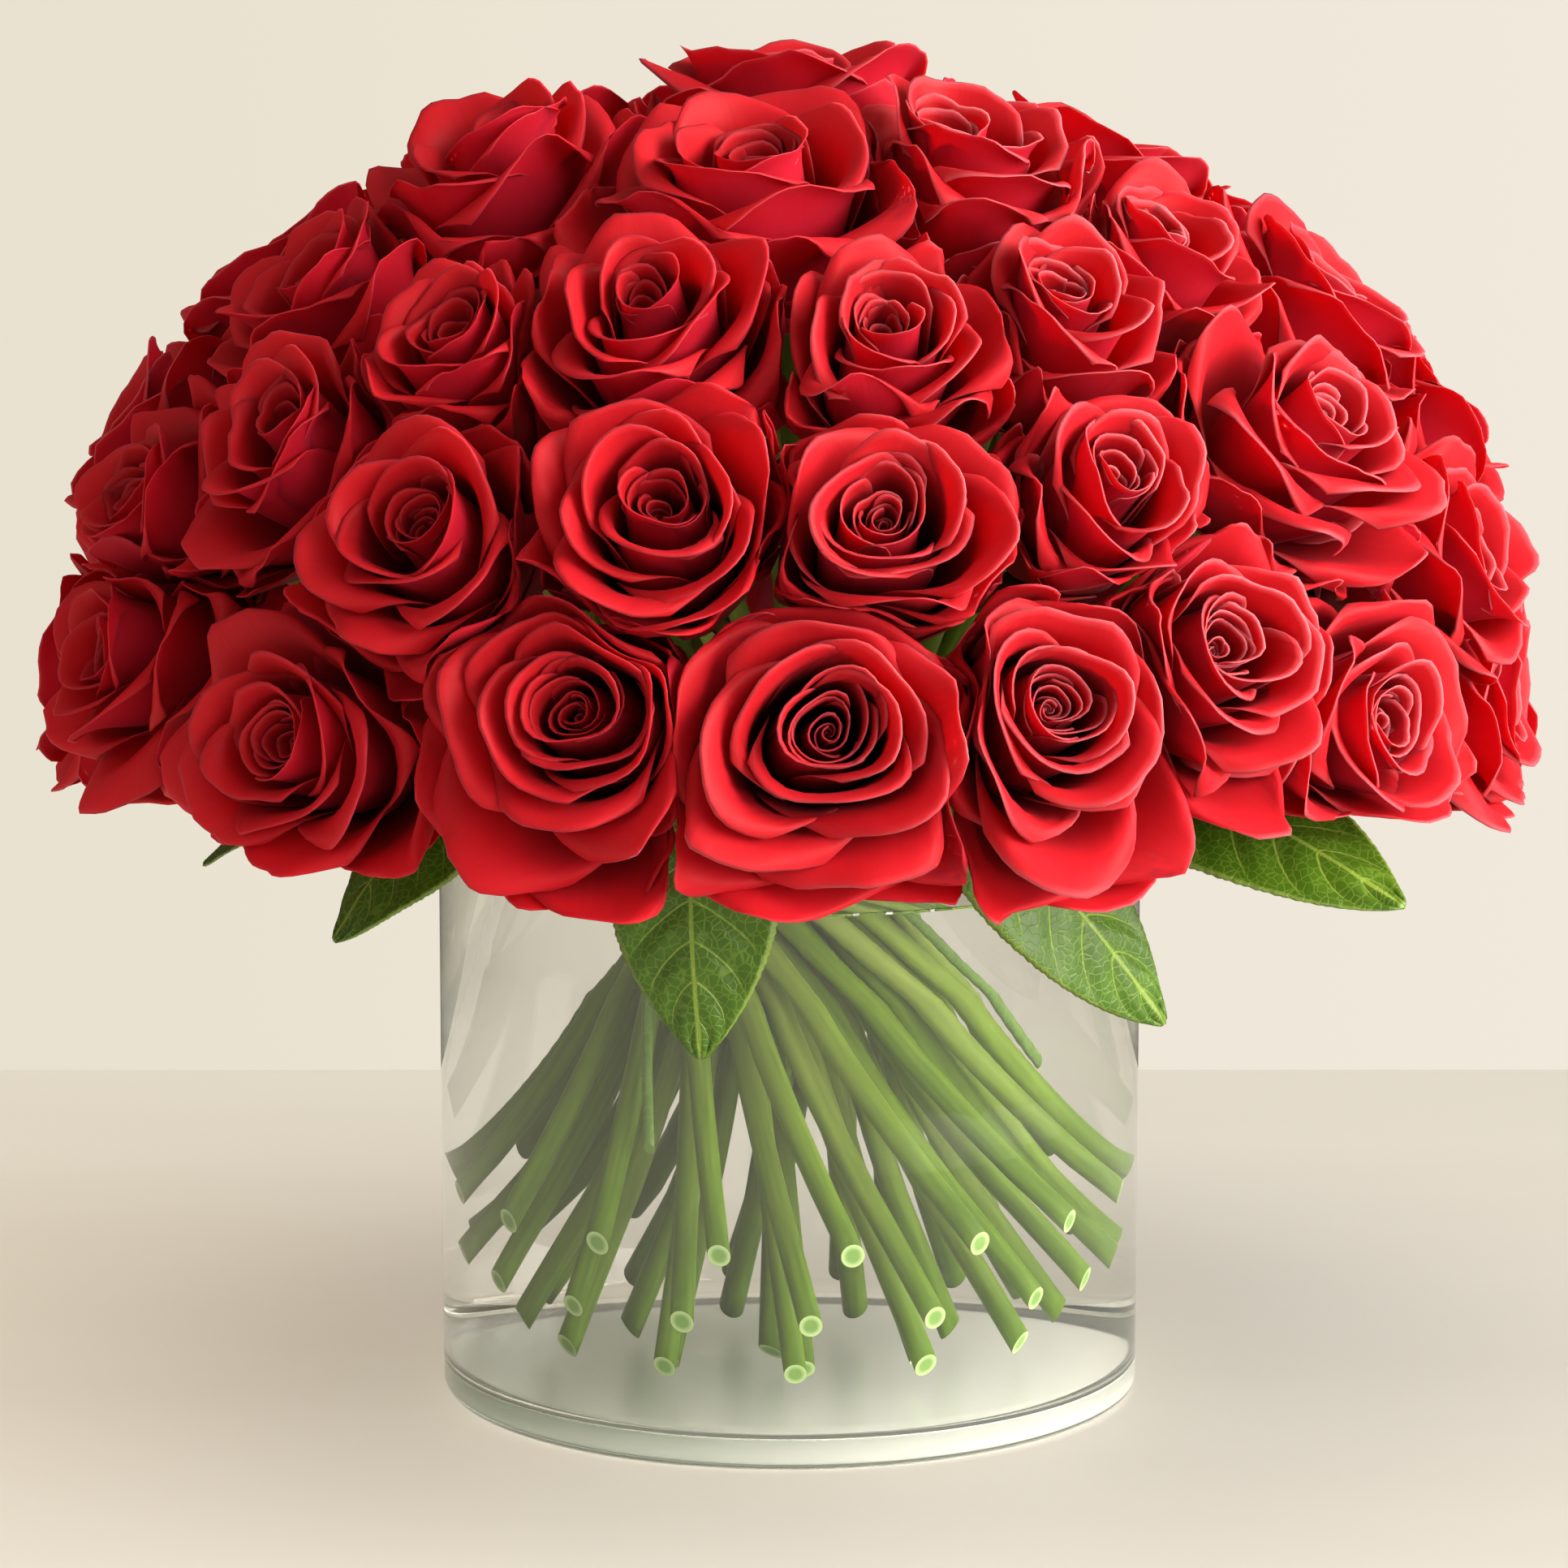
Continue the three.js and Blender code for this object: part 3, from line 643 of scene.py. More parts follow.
# A petal's form by its share of the way from the heart (0) to the open ones (1) and the outermost (1.12).
# base, wall and rim are leans from the bloom's axis in degrees at its claw, over its blade and at its lip;
# settle and roll are the shares of its length where the first ends and the last begins; drop is how much
# shorter its sides are than its middle, and taper how much narrower it is at its lip, as shares. The
# others are in mm.
PETAL_FORM = {
    "share": (0.00, 0.15, 0.30, 0.45, 0.60, 0.75, 0.88, 1.00, 1.12),
    "base": (14, 30, 46, 60, 68, 74, 80, 84, 86),
    "wall": (-2, -4, -3, -2, 1, 10, 26, 44, 64),
    "rim": (4, 8, 14, 26, 44, 70, 100, 114, 92),
    "settle": (0.25, 0.28, 0.32, 0.34, 0.34, 0.33, 0.32, 0.30, 0.25),
    "roll": (0.94, 0.94, 0.93, 0.91, 0.84, 0.74, 0.66, 0.62, 0.70),
    "length": (34, 38.5, 45, 52.5, 56.5, 58.5, 60, 61, 56),
    "foot": (1.0, 1.6, 2.6, 3.6, 4.2, 4.8, 5.2, 5.6, 5.8),
    "half_width": (7, 12, 18, 26, 32, 34, 35, 36, 35),
    "drop": (0.03, 0.04, 0.05, 0.06, 0.08, 0.12, 0.15, 0.17, 0.15),
    "ripple": (0.0, 0.3, 0.6, 1.0, 1.5, 2.0, 2.4, 2.8, 2.8),
    "taper": (0.16, 0.16, 0.18, 0.20, 0.24, 0.30, 0.36, 0.40, 0.40),
    "spiral": (1.4, 1.2, 1.0, 0.8, 0.5, 0.2, 0.0, 0.0, 0.0),
}
# How far petals of one share differ by chance, either way: a least amount and so much more at share 1.
# wall and rim are in degrees, twist and turn in radians, and the others are shares or plain numbers.
CHANCE = {
    "wall": (1, 5), "rim": (3, 16), "length": (0.012, 0.03), "half_width": (0.07, 0), "twist": (0, 0.1),
    "pointed": (0.25, 0), "fold": (0.9, 0), "crinkle": (1.5, 0), "turn": (0.13, 0), "phase": (3.1, 0),
}
# PETAL_FORM is drawn for a reach of 41 mm. Petals reach 1.12 times as far as their head, up to 47 mm. A
# head with a reach of 43 mm has the set number of petals, and others have fewer or more, in a straight
# line that would meet 72 % of that number at a reach of 0.
HEAD = {"drawn_for": 41, "past": 1.12, "largest": 47, "full": 43, "fewest": 0.72}
# The petals of the closed cup have shares up to where it ends, and the open ones from where they begin
CUP = {"petals": 0.48, "ends": 0.48, "open_from": 0.51, "outermost": 1.12}
# The rings of lips aren't round: two and three lobes, as shares of their radius, which turn as the rings
# widen, and the middle of the rings strays by so many mm
LOBES = {"two": 0.09, "three": 0.055, "turning": 4.0, "straying": 1.6}

# What sets single heads apart, by ring and place in it: push is how many mm their borders stand out into
# their neighbours, lean_to how far the cup is pushed to the left and up in mm, step how much the open
# petals stand off the cup, tall how much taller and size how much larger the petals are, and hem how many
# mm the head's lower side is drawn up.
CHARACTER = {
    ("rim", 1): {"push": 1, "lean_to": (1, 1), "step": 0.03, "hem": 4},
    ("rim", 2): {"push": 3, "lean_to": (-1, 2), "step": 0.02, "size": 1.1},
    ("rim", 3): {"push": 5, "lean_to": (-4, 1), "step": 0.05},
    ("rim", 4): {"push": 1, "lean_to": (1, 3), "step": 0.05},
    ("rim", 5): {"lean_to": (1, 1), "step": 0.02, "hem": 17},
    ("rim", 6): {"hem": 13},
    ("rim", 0): {"hem": 3},
    ("lower", 2): {"push": 2, "lean_to": (-3, 2), "step": 0.05},
    ("lower", 3): {"push": 3, "lean_to": (-1, 1), "step": 0.03},
    ("lower", 4): {"push": 2, "lean_to": (0, 1), "step": 0.02},
    ("lower", 6): {"push": 3, "lean_to": (-9, 2), "step": 0.08},
    ("upper", 1): {"push": 1, "lean_to": (-2, 1), "step": 0.03},
    ("upper", 2): {"push": 4, "lean_to": (0, 2), "step": 0.05},
    ("upper", 3): {"push": 1, "lean_to": (1, 1), "step": 0.0},
    ("crest", 0): {"push": 3, "lean_to": (-3, 9), "tall": 1.12, "step": 0.1},
    ("crest", 1): {"push": 4, "tall": 1.06, "lean_to": (0, -2), "step": 0.04},
    ("crest", 2): {"push": 2, "lean_to": (4, 6), "tall": 1.12, "step": 0.1},
    ("top", 0): {"tall": 1.14},
}


PETAL_ROWS, PETAL_COLUMNS = 15, 16
MARGIN = 0.014  # the line next to a petal's edge lies this share of its length or width inside it


def edge_lines():
    """Shares 0 to 1 up a petal, closer towards its lip, and -1 to 1 across it, both with one more line
    close inside the edge."""
    even = np.linspace(0, 1, PETAL_ROWS - 1)
    up = np.sort(np.append(1 - (1 - even) ** 1.25, 1 - MARGIN))
    over = np.linspace(-1, 1, PETAL_COLUMNS - 2)
    over = np.sort(np.concatenate([over, [2 * MARGIN - 1, 1 - 2 * MARGIN]]))
    return up, over


def border_field(points):
    """A smooth wandering number between about -1 and 1 for points in mm: the mean of five sines."""
    waves = np.array([
        [0.110, 0.031, 0.052], [-0.043, 0.121, 0.067], [0.071, -0.058, 0.109], [0.152, 0.094, -0.041],
        [-0.089, 0.137, 0.128],
    ])
    return np.sin(points @ waves.T + [0.3, 1.7, 2.9, 4.1, 5.3]).mean(-1) * 1.6


def borders(seat, wander):
    """The borders round a bloom: (direction, limit, sign of the wander), half-way between the hearts by
    the blooms' sizes, and the skirt under the rim."""
    found = []
    for other in ALL_SEATS:
        across = other["heart"] - seat["heart"]
        length = np.linalg.norm(across)
        if other is seat or length > BLOOM["nearby"]:
            continue
        direction = across / length
        limit = direction @ seat["heart"] + length * seat["reach"] / (seat["reach"] + other["reach"])
        sign = 1 if (seat["azimuth"], seat["latitude"]) < (other["azimuth"], other["latitude"]) else -1
        found.append((direction, limit - BLOOM["gap"] / 2 + seat["push"] - other["push"], sign * wander))
    if seat["latitude"] < SKIRT["below"]:
        direction = -UP - heading(float(seat["azimuth"])) * SKIRT["slope"]
        length = np.linalg.norm(direction)
        limit = (-SKIRT["height"] - SKIRT["slope"] * SKIRT["radius"]) / length
        found.append((direction / length, limit - seat["hem"], wander * 0.5))
    return found


def pressed(points, walls, band=9.0):
    """Points in mm pushed back inside the borders. How far x a point lies past the start of the band
    inside a border becomes band (1 - exp(-x / band)), so that it never crosses and keeps its order."""
    for direction, limit, wander in walls:
        past = points @ direction - limit + wander * border_field(points) + band
        back = np.where(past > 0, past - band * (1 - np.exp(-np.maximum(past, 0) / band)), 0)
        points = points - back[..., None] * direction
    for direction, limit, wander in walls * 2:
        past = points @ direction - limit + wander * border_field(points)
        points = points - np.maximum(past, 0)[..., None] * direction
    return points


def petal_grid(seat, count, tightness, step, lean_to, tall, random):
    """Petals of one bloom as grids (petals x rows x columns x 3) in mm, from the heart outwards.

    A petal is carried along a bending line that starts at the receptacle. Its lean from the bloom's
    axis goes from base to wall over the first part and on to rim over the last, and the line's radius
    and height are the running sums of sin(lean) and cos(lean). Across, a petal is wound round the axis
    by its half-width over the radius. Its sides are shorter than its middle and roll further back.
    tightness over 1 keeps more of the petals in the heart. step, lean_to and tall are as in CHARACTER.
    """
    even = np.linspace(0, 1, count) ** tightness
    open_from = CUP["open_from"] + step
    opened = open_from + (even - CUP["petals"]) * (CUP["outermost"] - open_from) / (1 - CUP["petals"])
    shares = np.where(even < CUP["petals"], even * CUP["ends"] / CUP["petals"], opened)
    t, s = edge_lines()
    t, s = t[None, :, None], s[None, None, :]
    scale = min(seat["reach"] * HEAD["past"], HEAD["largest"]) / HEAD["drawn_for"] * seat["size"]
    form = {
        name: np.interp(shares, PETAL_FORM["share"], values)[:, None, None]
        for name, values in PETAL_FORM.items()
    }

    share = form["share"]

    def chance(name):
        """A random number for each petal, up to its spread in CHANCE to either side."""
        least, more = CHANCE[name]
        return (least + more * share) * random.uniform(-1, 1, (count, 1, 1))

    base = np.radians(form["base"])
    wall = np.radians(form["wall"] + chance("wall"))
    rim = np.radians(form["rim"] + chance("rim"))
    length = form["length"] * (1 + chance("length"))
    half_width = form["half_width"] * (1 + chance("half_width"))
    # Up its middle it leans as given, and at its sides the lip rolls further back
    side_roll = 1 + (0.1 + 0.5 * share) * (np.abs(s) ** 1.8 - 0.3)
    lean = wall + (base - wall) * (1 - ease(t / form["settle"]))
    lipped = np.clip((t - form["roll"]) / (1 - form["roll"]), 0, 1) ** 1.4
    lean = lean + (rim * side_roll - wall) * lipped + chance("twist") * s * t
    # Its sides are shorter, as a power of how far out they are, and its lip has fine notches
    pointed = 2.3 + chance("pointed")
    notches = 0.006 * np.sin(s * 9 + chance("phase")) + 0.004 * np.sin(s * 17 + chance("phase"))
    reach = t * (1 - form["drop"] * np.abs(s) ** pointed + notches * share)
    steps = np.diff(reach, axis=1, prepend=0) * length
    halfway = (lean + np.concatenate([lean[:, :1], lean[:, :-1]], axis=1)) / 2
    radius = form["foot"] + np.cumsum(np.sin(halfway) * steps, axis=1)
    height = np.cumsum(np.cos(halfway) * steps, axis=1)
    fullness = (0.3 + 0.7 * ease(t / 0.6)) * (1 - form["taper"] * np.clip((t - 0.55) / 0.45, 0, 1) ** 2)
    # Soft folds run up it and a finer crinkle along its lip, in mm
    wave = np.sin(s * (2.8 + chance("fold")) + chance("phase")) * form["ripple"] * t ** 3
    wave = wave + np.sin(s * (8.5 + chance("crinkle")) + chance("phase")) * 0.6 * share * t ** 6
    radius = (radius + form["spiral"] * s + wave * 0.5) * scale
    height = (height + wave) * tall
    golden = math.pi * (3 - math.sqrt(5))
    turn = golden * np.arange(count)[:, None, None] + random.uniform(0, 2 * math.pi) + chance("turn")
    around = turn + s * half_width * scale * fullness / (radius + 2.5)
    first, second, third = random.uniform(0, 2 * math.pi, 3)
    drift = LOBES["turning"] * share
    two = LOBES["two"] * np.sin(2 * around + first + drift)
    three = LOBES["three"] * np.sin(3 * around + second - drift)
    radius = radius * (1 + (two + three) * ease(t / 0.7))
    # The cup is pushed and the rings' middle strays by more the higher a point is
    outness = share[..., None]
    side, rise, axis = seat["side"], seat["rise"], seat["axis"]
    pushed = (side * lean_to[0] - rise * lean_to[1]) * (1 - ease((outness - 0.5) / 0.35))
    stray = side * np.sin(9 * outness + third) + rise * np.cos(8 * outness)
    stray = stray * LOBES["straying"] * np.clip(outness / 0.4, 0, 1)
    out = side * np.cos(around)[..., None] + rise * np.sin(around)[..., None]
    grid = seat["seat"] + out * radius[..., None] + axis * height[..., None]
    grid = grid + (pushed + stray) * (height[..., None] / 50)
    shape = grid.shape[:3]
    # The rim mark is where the painted highlight lies along the lip and the sides; its band is a little
    # wider on the right of the bunch
    band = (1.15 + 0.3 * rim_highlight_by_side(seat)) * MARGIN
    near_lip = np.clip(1 - (1 - t) / band, 0, 1)
    near_side = np.clip(1 - (1 - np.abs(s)) / (2 * band), 0, 1) * ease((t - 0.35) / 0.3)
    marks = {
        "along": t, "across": s, "rim": np.maximum(near_lip, near_side),
        "tone": random.uniform(0, 1, (count, 1, 1)), "share": share,
    }
    return grid, {name: np.broadcast_to(values, shape) for name, values in marks.items()}


class ROSES_OT_petals(bpy.types.Operator):
    """Builds every rose head out of curled petals, each head inside its own borders"""

    bl_idname = "roses.petals"
    bl_label = "Rose heads"

    def execute(self, context):
        settings = context.scene.rose_petals
        material = rose_petal(settings)
        for (name, index), own in CHARACTER.items():
            seat = SEATS[RING_NAMES.index(name)][index]
            seat.update({key: own[key] for key in ("push", "hem", "size") if key in own})
        for level, ring in enumerate(RINGS):
            for index, seat in enumerate(SEATS[level]):
                random = np.random.default_rng(1000 * level + index)
                growing = (1 - HEAD["fewest"]) * seat["reach"] / HEAD["full"]
                count = round(settings.count * (HEAD["fewest"] + growing))
                tightness = random.uniform(0.85, 1.1)
                own = {"step": random.uniform(0, 0.08), "lean_to": random.uniform(-5, 5, 2), "tall": 1}
                own.update(CHARACTER.get((ring["name"], index), {}))
                grid, marks = petal_grid(
                    seat, count, tightness, own["step"], own["lean_to"], own["tall"], random
                )
                grid = pressed(grid, borders(seat, settings.wander / MM))
                points, faces = closed_sheets(grid * MM, settings.thickness)
                outer = on_outer_face(grid)
                # pale is how strong the painted highlight on the rims is
                head = make_mesh(
                    f"rose_head_{ring['name']}_{index + 1}", points, faces, outer=outer,
                    pale=rim_highlight_by_side(seat), **{name: both_faces(values) for name, values in marks.items()},
                )
                finish_piece(head, material, "petal", f"rose_{ring['name']}_{index + 1}")
        return {"FINISHED"}


def rim_highlight_by_side(seat):
    """How strong the painted highlight on a head's rims is: 0 on the left of the bunch, rising to 1 on its
    right, towards the window lamps, and 0.5 behind.
    """
    return ease((seat["azimuth"] + 20) / 60) if -90 < seat["azimuth"] < 90 else 0.5


# ------------------------------------------------------------------ stems, calyxes and twigs


def smooth_way(corners, stations, passes):
    """A way through corners, sampled evenly and then averaged with its neighbours, its ends held."""
    steps = np.linalg.norm(np.diff(corners, axis=0), axis=1)
    distance = np.concatenate([[0], np.cumsum(steps)])
    even = np.linspace(0, distance[-1], stations)
    way = np.stack([np.interp(even, distance, corners[:, k]) for k in range(3)], -1)
    for _ in range(passes):
        way[1:-1] = (way[:-2] + 2 * way[1:-1] + way[2:]) / 4
    return way


def tube_rows(way, radii, sides):
    """Rings of points round a way: centre + radius (cos a, sin a) square to the way's direction."""
    tangent = unit(np.gradient(way, axis=0))
    chord = way[-1] - way[0]
    reference = np.cross(chord, UP)
    if np.linalg.norm(reference) < 1e-6 * np.linalg.norm(chord):
        reference = np.array([1.0, 0, 0])
    normal = unit(np.cross(tangent, unit(reference)))
    binormal = np.cross(tangent, normal)
    angle = np.linspace(0, 2 * math.pi, sides, endpoint=False)
    ring = normal[:, None] * np.cos(angle)[None, :, None] + binormal[:, None] * np.sin(angle)[None, :, None]
    return way[:, None] + ring * radii[:, None, None]


CUT_RINGS = (0.0, 0.45, 0.8, 0.97)  # rings of a cut end, as shares of the stem's radius
# A cut end rises by 0.7 mm for each mm outwards, and this fades out over the lowest 9 mm of the stem. Below
# its bloom a stem's radius grows by 2.2 mm over 12 mm, and on the way up it loses 8 %.
SLANT = {"rise": 0.7, "over": 9}
HIP = {"height": 12, "swell": 2.2}
NARROWING = 0.08
# How many points a way has, how often it is smoothed and how many sides its body has. stalk is how thick
# a leaf's stalk is, as a share of its twig.
STEM_MESH = {"stations": 46, "passes": 5, "sides": 16}
TWIG_MESH = {"stations": 40, "passes": 3, "sides": 10, "stalk_stations": 16, "stalk": 0.8}


def stem_body(way, radius, sides, swell):
    """A stem with a slanting cut foot and, where swell is given, a hip below its bloom: the radius grows
    by swell over the hip's height. Returns points, faces and marks."""
    stations = len(way)
    distance = np.concatenate([[0], np.cumsum(np.linalg.norm(np.diff(way, axis=0), axis=1))])
    to_top = distance[-1] - distance
    radii = radius * (1 - NARROWING * distance / distance[-1]) + swell * ease(1 - to_top / HIP["height"])
    body = tube_rows(way, radii, sides)
    # The foot is cut aslant, so that its face looks outwards
    heading_up = unit(way[1] - way[0])
    outwards = unit(way[0] * [1, 1, 0])
    near_cut = np.clip(1 - distance / SLANT["over"], 0, 1)[:, None]
    aslant = (body - way[:, None]) @ outwards * SLANT["rise"] * near_cut
    body = body + aslant[..., None] * heading_up
    foot = way[0] + (body[0] - way[0])[None] * np.array(CUT_RINGS)[:, None, None]
    top = way[-1] + (body[-1] - way[-1])[None] * np.array([0.5, 0.0])[:, None, None]
    rows = np.concatenate([foot, body, top])
    points, faces = closed_round(rows)
    caps, ends = len(CUT_RINGS), 2
    length = np.concatenate([np.zeros(caps), distance, np.full(ends, distance[-1])]) * MM
    cut = np.concatenate([CUT_RINGS, np.ones(stations + ends)])
    turn = np.abs(np.linspace(-1, 1, sides, endpoint=False))

    def per_point(values):
        return np.concatenate([values[:1], np.repeat(values[1:-1], sides), values[-1:]])

    turns = np.concatenate([[0], np.tile(turn, len(rows) - 2), [0]])
    return points, faces, {"length": per_point(length), "turn": turns, "cut": per_point(cut)}


SEPALS = {"count": 5, "rows": 9, "columns": 5, "shortest": 19, "longest": 26, "thickness": 0.5}


def sepal_grid(seat, random):
    """Five sepals of one bloom as grids in mm: narrow blades that start at the hip and bend back and down.
    Their half-width is 0.35 + 3.2 sin(pi t^0.65)^0.9 and their lean goes from about 55 to 115 degrees."""
    t = np.linspace(0, 1, SEPALS["rows"])[None, :, None]
    s = np.linspace(-1, 1, SEPALS["columns"])[None, None, :]
    count = SEPALS["count"]
    turn = (np.arange(count) * 2 * math.pi / count + random.uniform(0, 6))[:, None, None]
    lean = np.radians(55 + random.uniform(-10, 15, count)[:, None, None] + 60 * t)
    lengths = random.uniform(SEPALS["shortest"], SEPALS["longest"], count)
    steps = np.diff(t, axis=1, prepend=0) * lengths[:, None, None]
    radius = 4.4 + np.cumsum(np.sin(lean) * steps, axis=1)
    height = np.cumsum(np.cos(lean) * steps, axis=1)
    half = 0.35 + 3.2 * np.sin(math.pi * t ** 0.65) ** 0.9
    around = turn + s * half / radius
    out = seat["side"] * np.cos(around)[..., None] + seat["rise"] * np.sin(around)[..., None]
    crease = -0.6 * (1 - np.abs(s)) * np.sin(math.pi * t)
    below_seat = 1.0
    up = height + crease - below_seat
    return seat["seat"] + out * radius[..., None] + seat["axis"] * up[..., None]


def joined(parts):
    """Several (points, faces, marks) as one."""
    offsets = np.cumsum([0] + [len(p[0]) for p in parts[:-1]])
    points = np.concatenate([p[0] for p in parts])
    faces = np.concatenate([p[1] + offset for p, offset in zip(parts, offsets)])
    marks = {name: np.concatenate([p[2][name] for p in parts]) for name in parts[0][2]}
    return points, faces, marks


class ROSES_OT_stems(bpy.types.Operator):
    """Builds the rose stems with their hips and sepals"""

    bl_idname = "roses.stems"
    bl_label = "Stems and sepals"

    def execute(self, context):
        settings = context.scene.rose_stems
        random = np.random.default_rng(7)
        parts = []
        for seats, ways in zip(SEATS, STEM_WAYS):
            for seat, corners in zip(seats, ways):
                under = seat["seat"] - seat["axis"] * STEM["straight"]
                corners = np.array([*corners[:-1], under, corners[-1]])
                way = smooth_way(corners, STEM_MESH["stations"], STEM_MESH["passes"])
                radius = settings.radius / MM * random.uniform(0.93, 1.04)
                tone = random.uniform(0, 1)
                points, faces, marks = stem_body(way, radius, STEM_MESH["sides"], HIP["swell"])
                parts.append((points, faces, {**marks, "tone": np.full(len(points), tone)}))
                sepals = sepal_grid(seat, random)
                points, faces = closed_sheets(sepals, SEPALS["thickness"])
                ones = np.ones(len(points))
                parts.append((points, faces, {"length": ones * 0.4, "turn": ones * 0.5, "cut": ones,
                                              "tone": ones * tone * 0.4}))
        points, faces, marks = joined(parts)
        stems = make_mesh("stems_and_sepals", points * MM, faces, **marks)
        finish_piece(stems, green_stem(settings), "stem", "rose_stems")
        return {"FINISHED"}


# A leaf's grid and its shape. Lengths are in mm, and tooth is the depth of a tooth as a share of its width.
LEAF = {
    "rows": 97, "columns": 25, "thickness": 0.6, "fold": 4, "arch": 6, "teeth": 38, "tooth": 0.028,
    "side_veins": 7, "quilting": 0.5, "wave": 1.4,
}


def leaf_body(base, tip, width, facing, roll=0):
    """A leaf as (points, faces, marks) in mm. Its middle line runs from base to tip and arches 6 sin(pi t);
    its half-width is sin(pi t^0.8)^0.75 of half its width, with small saw teeth; it is folded along its
    midrib, and quilted between side veins that leave the midrib and curve towards the tip."""
    start = place(*base) / MM
    spine = place(*tip) / MM - start
    slope = math.radians(facing)
    wanted = heading((base[0] + tip[0]) / 2) * math.cos(slope) + UP * math.sin(slope)
    across = unit(np.cross(wanted, spine))
    normal = unit(np.cross(spine, across))
    roll = math.radians(roll)
    across, normal = (
        across * math.cos(roll) + normal * math.sin(roll), normal * math.cos(roll) - across * math.sin(roll)
    )
    t = np.linspace(0, 1, LEAF["rows"])[:, None]
    s = np.linspace(-1, 1, LEAF["columns"])[None, :]
    full = np.sin(math.pi * t ** 0.8) ** 0.75
    saw = (t * LEAF["teeth"]) % 1
    toothed = 1 + LEAF["tooth"] * (saw - 0.5) * ease((t - 0.06) / 0.1)
    half = np.maximum(width / 2 * full * toothed, 0.9 * (1 - t) + 0.15)
    run = t * LEAF["side_veins"] - 1.6 * np.abs(s) ** 1.2
    quilt = LEAF["quilting"] * np.cos(2 * math.pi * run) * np.sin(math.pi * np.abs(s))
    wave = LEAF["wave"] * np.sin(7 * t + 2.2 * s) * s ** 2 * full
    lift = LEAF["arch"] * np.sin(math.pi * t) - LEAF["fold"] * np.abs(s) * half / (width / 2) - quilt + wave
    grid = start + spine * t[..., None] + across * (half * s)[..., None] + normal * lift[..., None]
    points, faces = closed_sheets(grid[None], LEAF["thickness"])
    length = np.linalg.norm(spine)
    values = {
        "along": t * length + 0 * s,
        "across": half * s,
        "run": run,
        "reach": np.abs(s) + 0 * t,
        "edge": ease((np.abs(s) - 0.96) / 0.04) + 0 * t,
    }
    marks = {name: both_faces(value[None]) for name, value in values.items()}
    # The grid is the leaf's under face, and its upper one lies inwards of it
    marks["under"] = on_outer_face(grid[None])
    return points, faces, marks


class ROSES_OT_leaves(bpy.types.Operator):
    """Builds the leafy twigs that stand in the vase and carry their leaves over its rim"""

    bl_idname = "roses.leaves"
    bl_label = "Leafy twigs"

    def execute(self, context):
        material = fresh_leaf()
        radius = context.scene.rose_stems.twig_radius / MM
        for index, twig in enumerate(TWIGS):
            corners = twig_corners(twig["between"])
            parts = [self.wood(smooth_way(corners, TWIG_MESH["stations"], TWIG_MESH["passes"]), radius)]
            for leaf in twig["leaves"]:
                azimuth, distance, height = leaf["base"]
                end = corners[-1]
                start_azimuth = math.degrees(math.atan2(end[0], -end[1]))
                turn = (azimuth - start_azimuth + 180) % 360 - 180
                middle = place(start_azimuth + turn / 2, TWIG["stalk"], height + 1) / MM
                stalk = np.array([end, middle, place(azimuth, distance, height - 1) / MM])
                way = smooth_way(stalk, TWIG_MESH["stalk_stations"], TWIG_MESH["passes"])
                parts.append(self.wood(way, radius * TWIG_MESH["stalk"]))
                parts.append(leaf_body(**leaf))
            points, faces, marks = joined(parts)
            piece = make_mesh(f"leafy_twig_{index + 1}_fresh", points * MM, faces, **marks)
            finish_piece(piece, material, "leaf", f"leafy_twig_{index + 1}")
        return {"FINISHED"}

    @staticmethod
    def wood(way, radius):
        """A bare length of twig or stalk, with a leaf's marks."""
        points, faces, marks = stem_body(way, radius, TWIG_MESH["sides"], 0)
        zeros = np.zeros(len(points))
        return points, faces, {"along": marks["length"] / MM, "across": marks["turn"] * 4 + 1,
                               "run": zeros + 0.5, "reach": zeros, "edge": zeros, "under": zeros + 0.5}


# ------------------------------------------------------------------ vase and water


def turned(profile, sides):
    """A profile of (radius, height) in metres turned round the axis: (r cos a, r sin a, h)."""
    radius, height = np.array(profile).T[:, :, None]
    angle = np.linspace(0, 2 * math.pi, sides, endpoint=False)[None, :]
    return np.stack([radius * np.cos(angle), radius * np.sin(angle), height + 0 * angle], -1)


def arc(centre, radius, start, end, steps):
    """Points of an arc from one angle to another, in degrees, angle 0 outwards and 90 up."""
    angle = np.radians(np.linspace(start, end, steps))
    return [(centre[0] + radius * math.cos(a), centre[1] + radius * math.sin(a)) for a in angle]


ROUND = 160  # points round the glass and the water
HOLLOW = 5 * MM  # radius of the rounding where the wall meets the base inside


class ROSES_OT_vase(bpy.types.Operator):
    """Builds the glass cylinder: a thick flat base with a soft heel, plain walls and a fire-polished rim"""

    bl_idname = "roses.vase"
    bl_label = "Glass cylinder"

    def execute(self, context):
        vase = context.scene.rose_vase
        lip = vase.wall / 2
        heel, foot_edge = 4 * MM, 9 * MM
        inside = vase.radius - vase.wall
        profile = [
            (0, 0),
            (vase.radius * 0.6, 0),
            (vase.radius - foot_edge, 0),
            *arc((vase.radius - heel, heel), heel, -90, 0, 9),
            (vase.radius, vase.height * 0.35),
            (vase.radius, vase.height * 0.7),
            *arc((vase.radius - lip, vase.height - lip), lip, 0, 180, 13),
            (inside, vase.height * 0.7),
            (inside, vase.height * 0.35),
            *arc((inside - HOLLOW, vase.base + HOLLOW), HOLLOW, 0, -90, 9),
            (inside * 0.5, vase.base),
            (0, vase.base),
        ]
        points, faces = closed_round(turned(profile, ROUND))
        inner = np.hypot(points[:, 0], points[:, 1]) < inside - HOLLOW * 0.8
        floor = inner & (np.abs(points[:, 2] - vase.base) < MM)
        glass = make_mesh("glass_cylinder", points, faces, uneven=floor.astype(float))
        finish_piece(glass, clear_glass(), "glass", "vase")
        return {"FINISHED"}


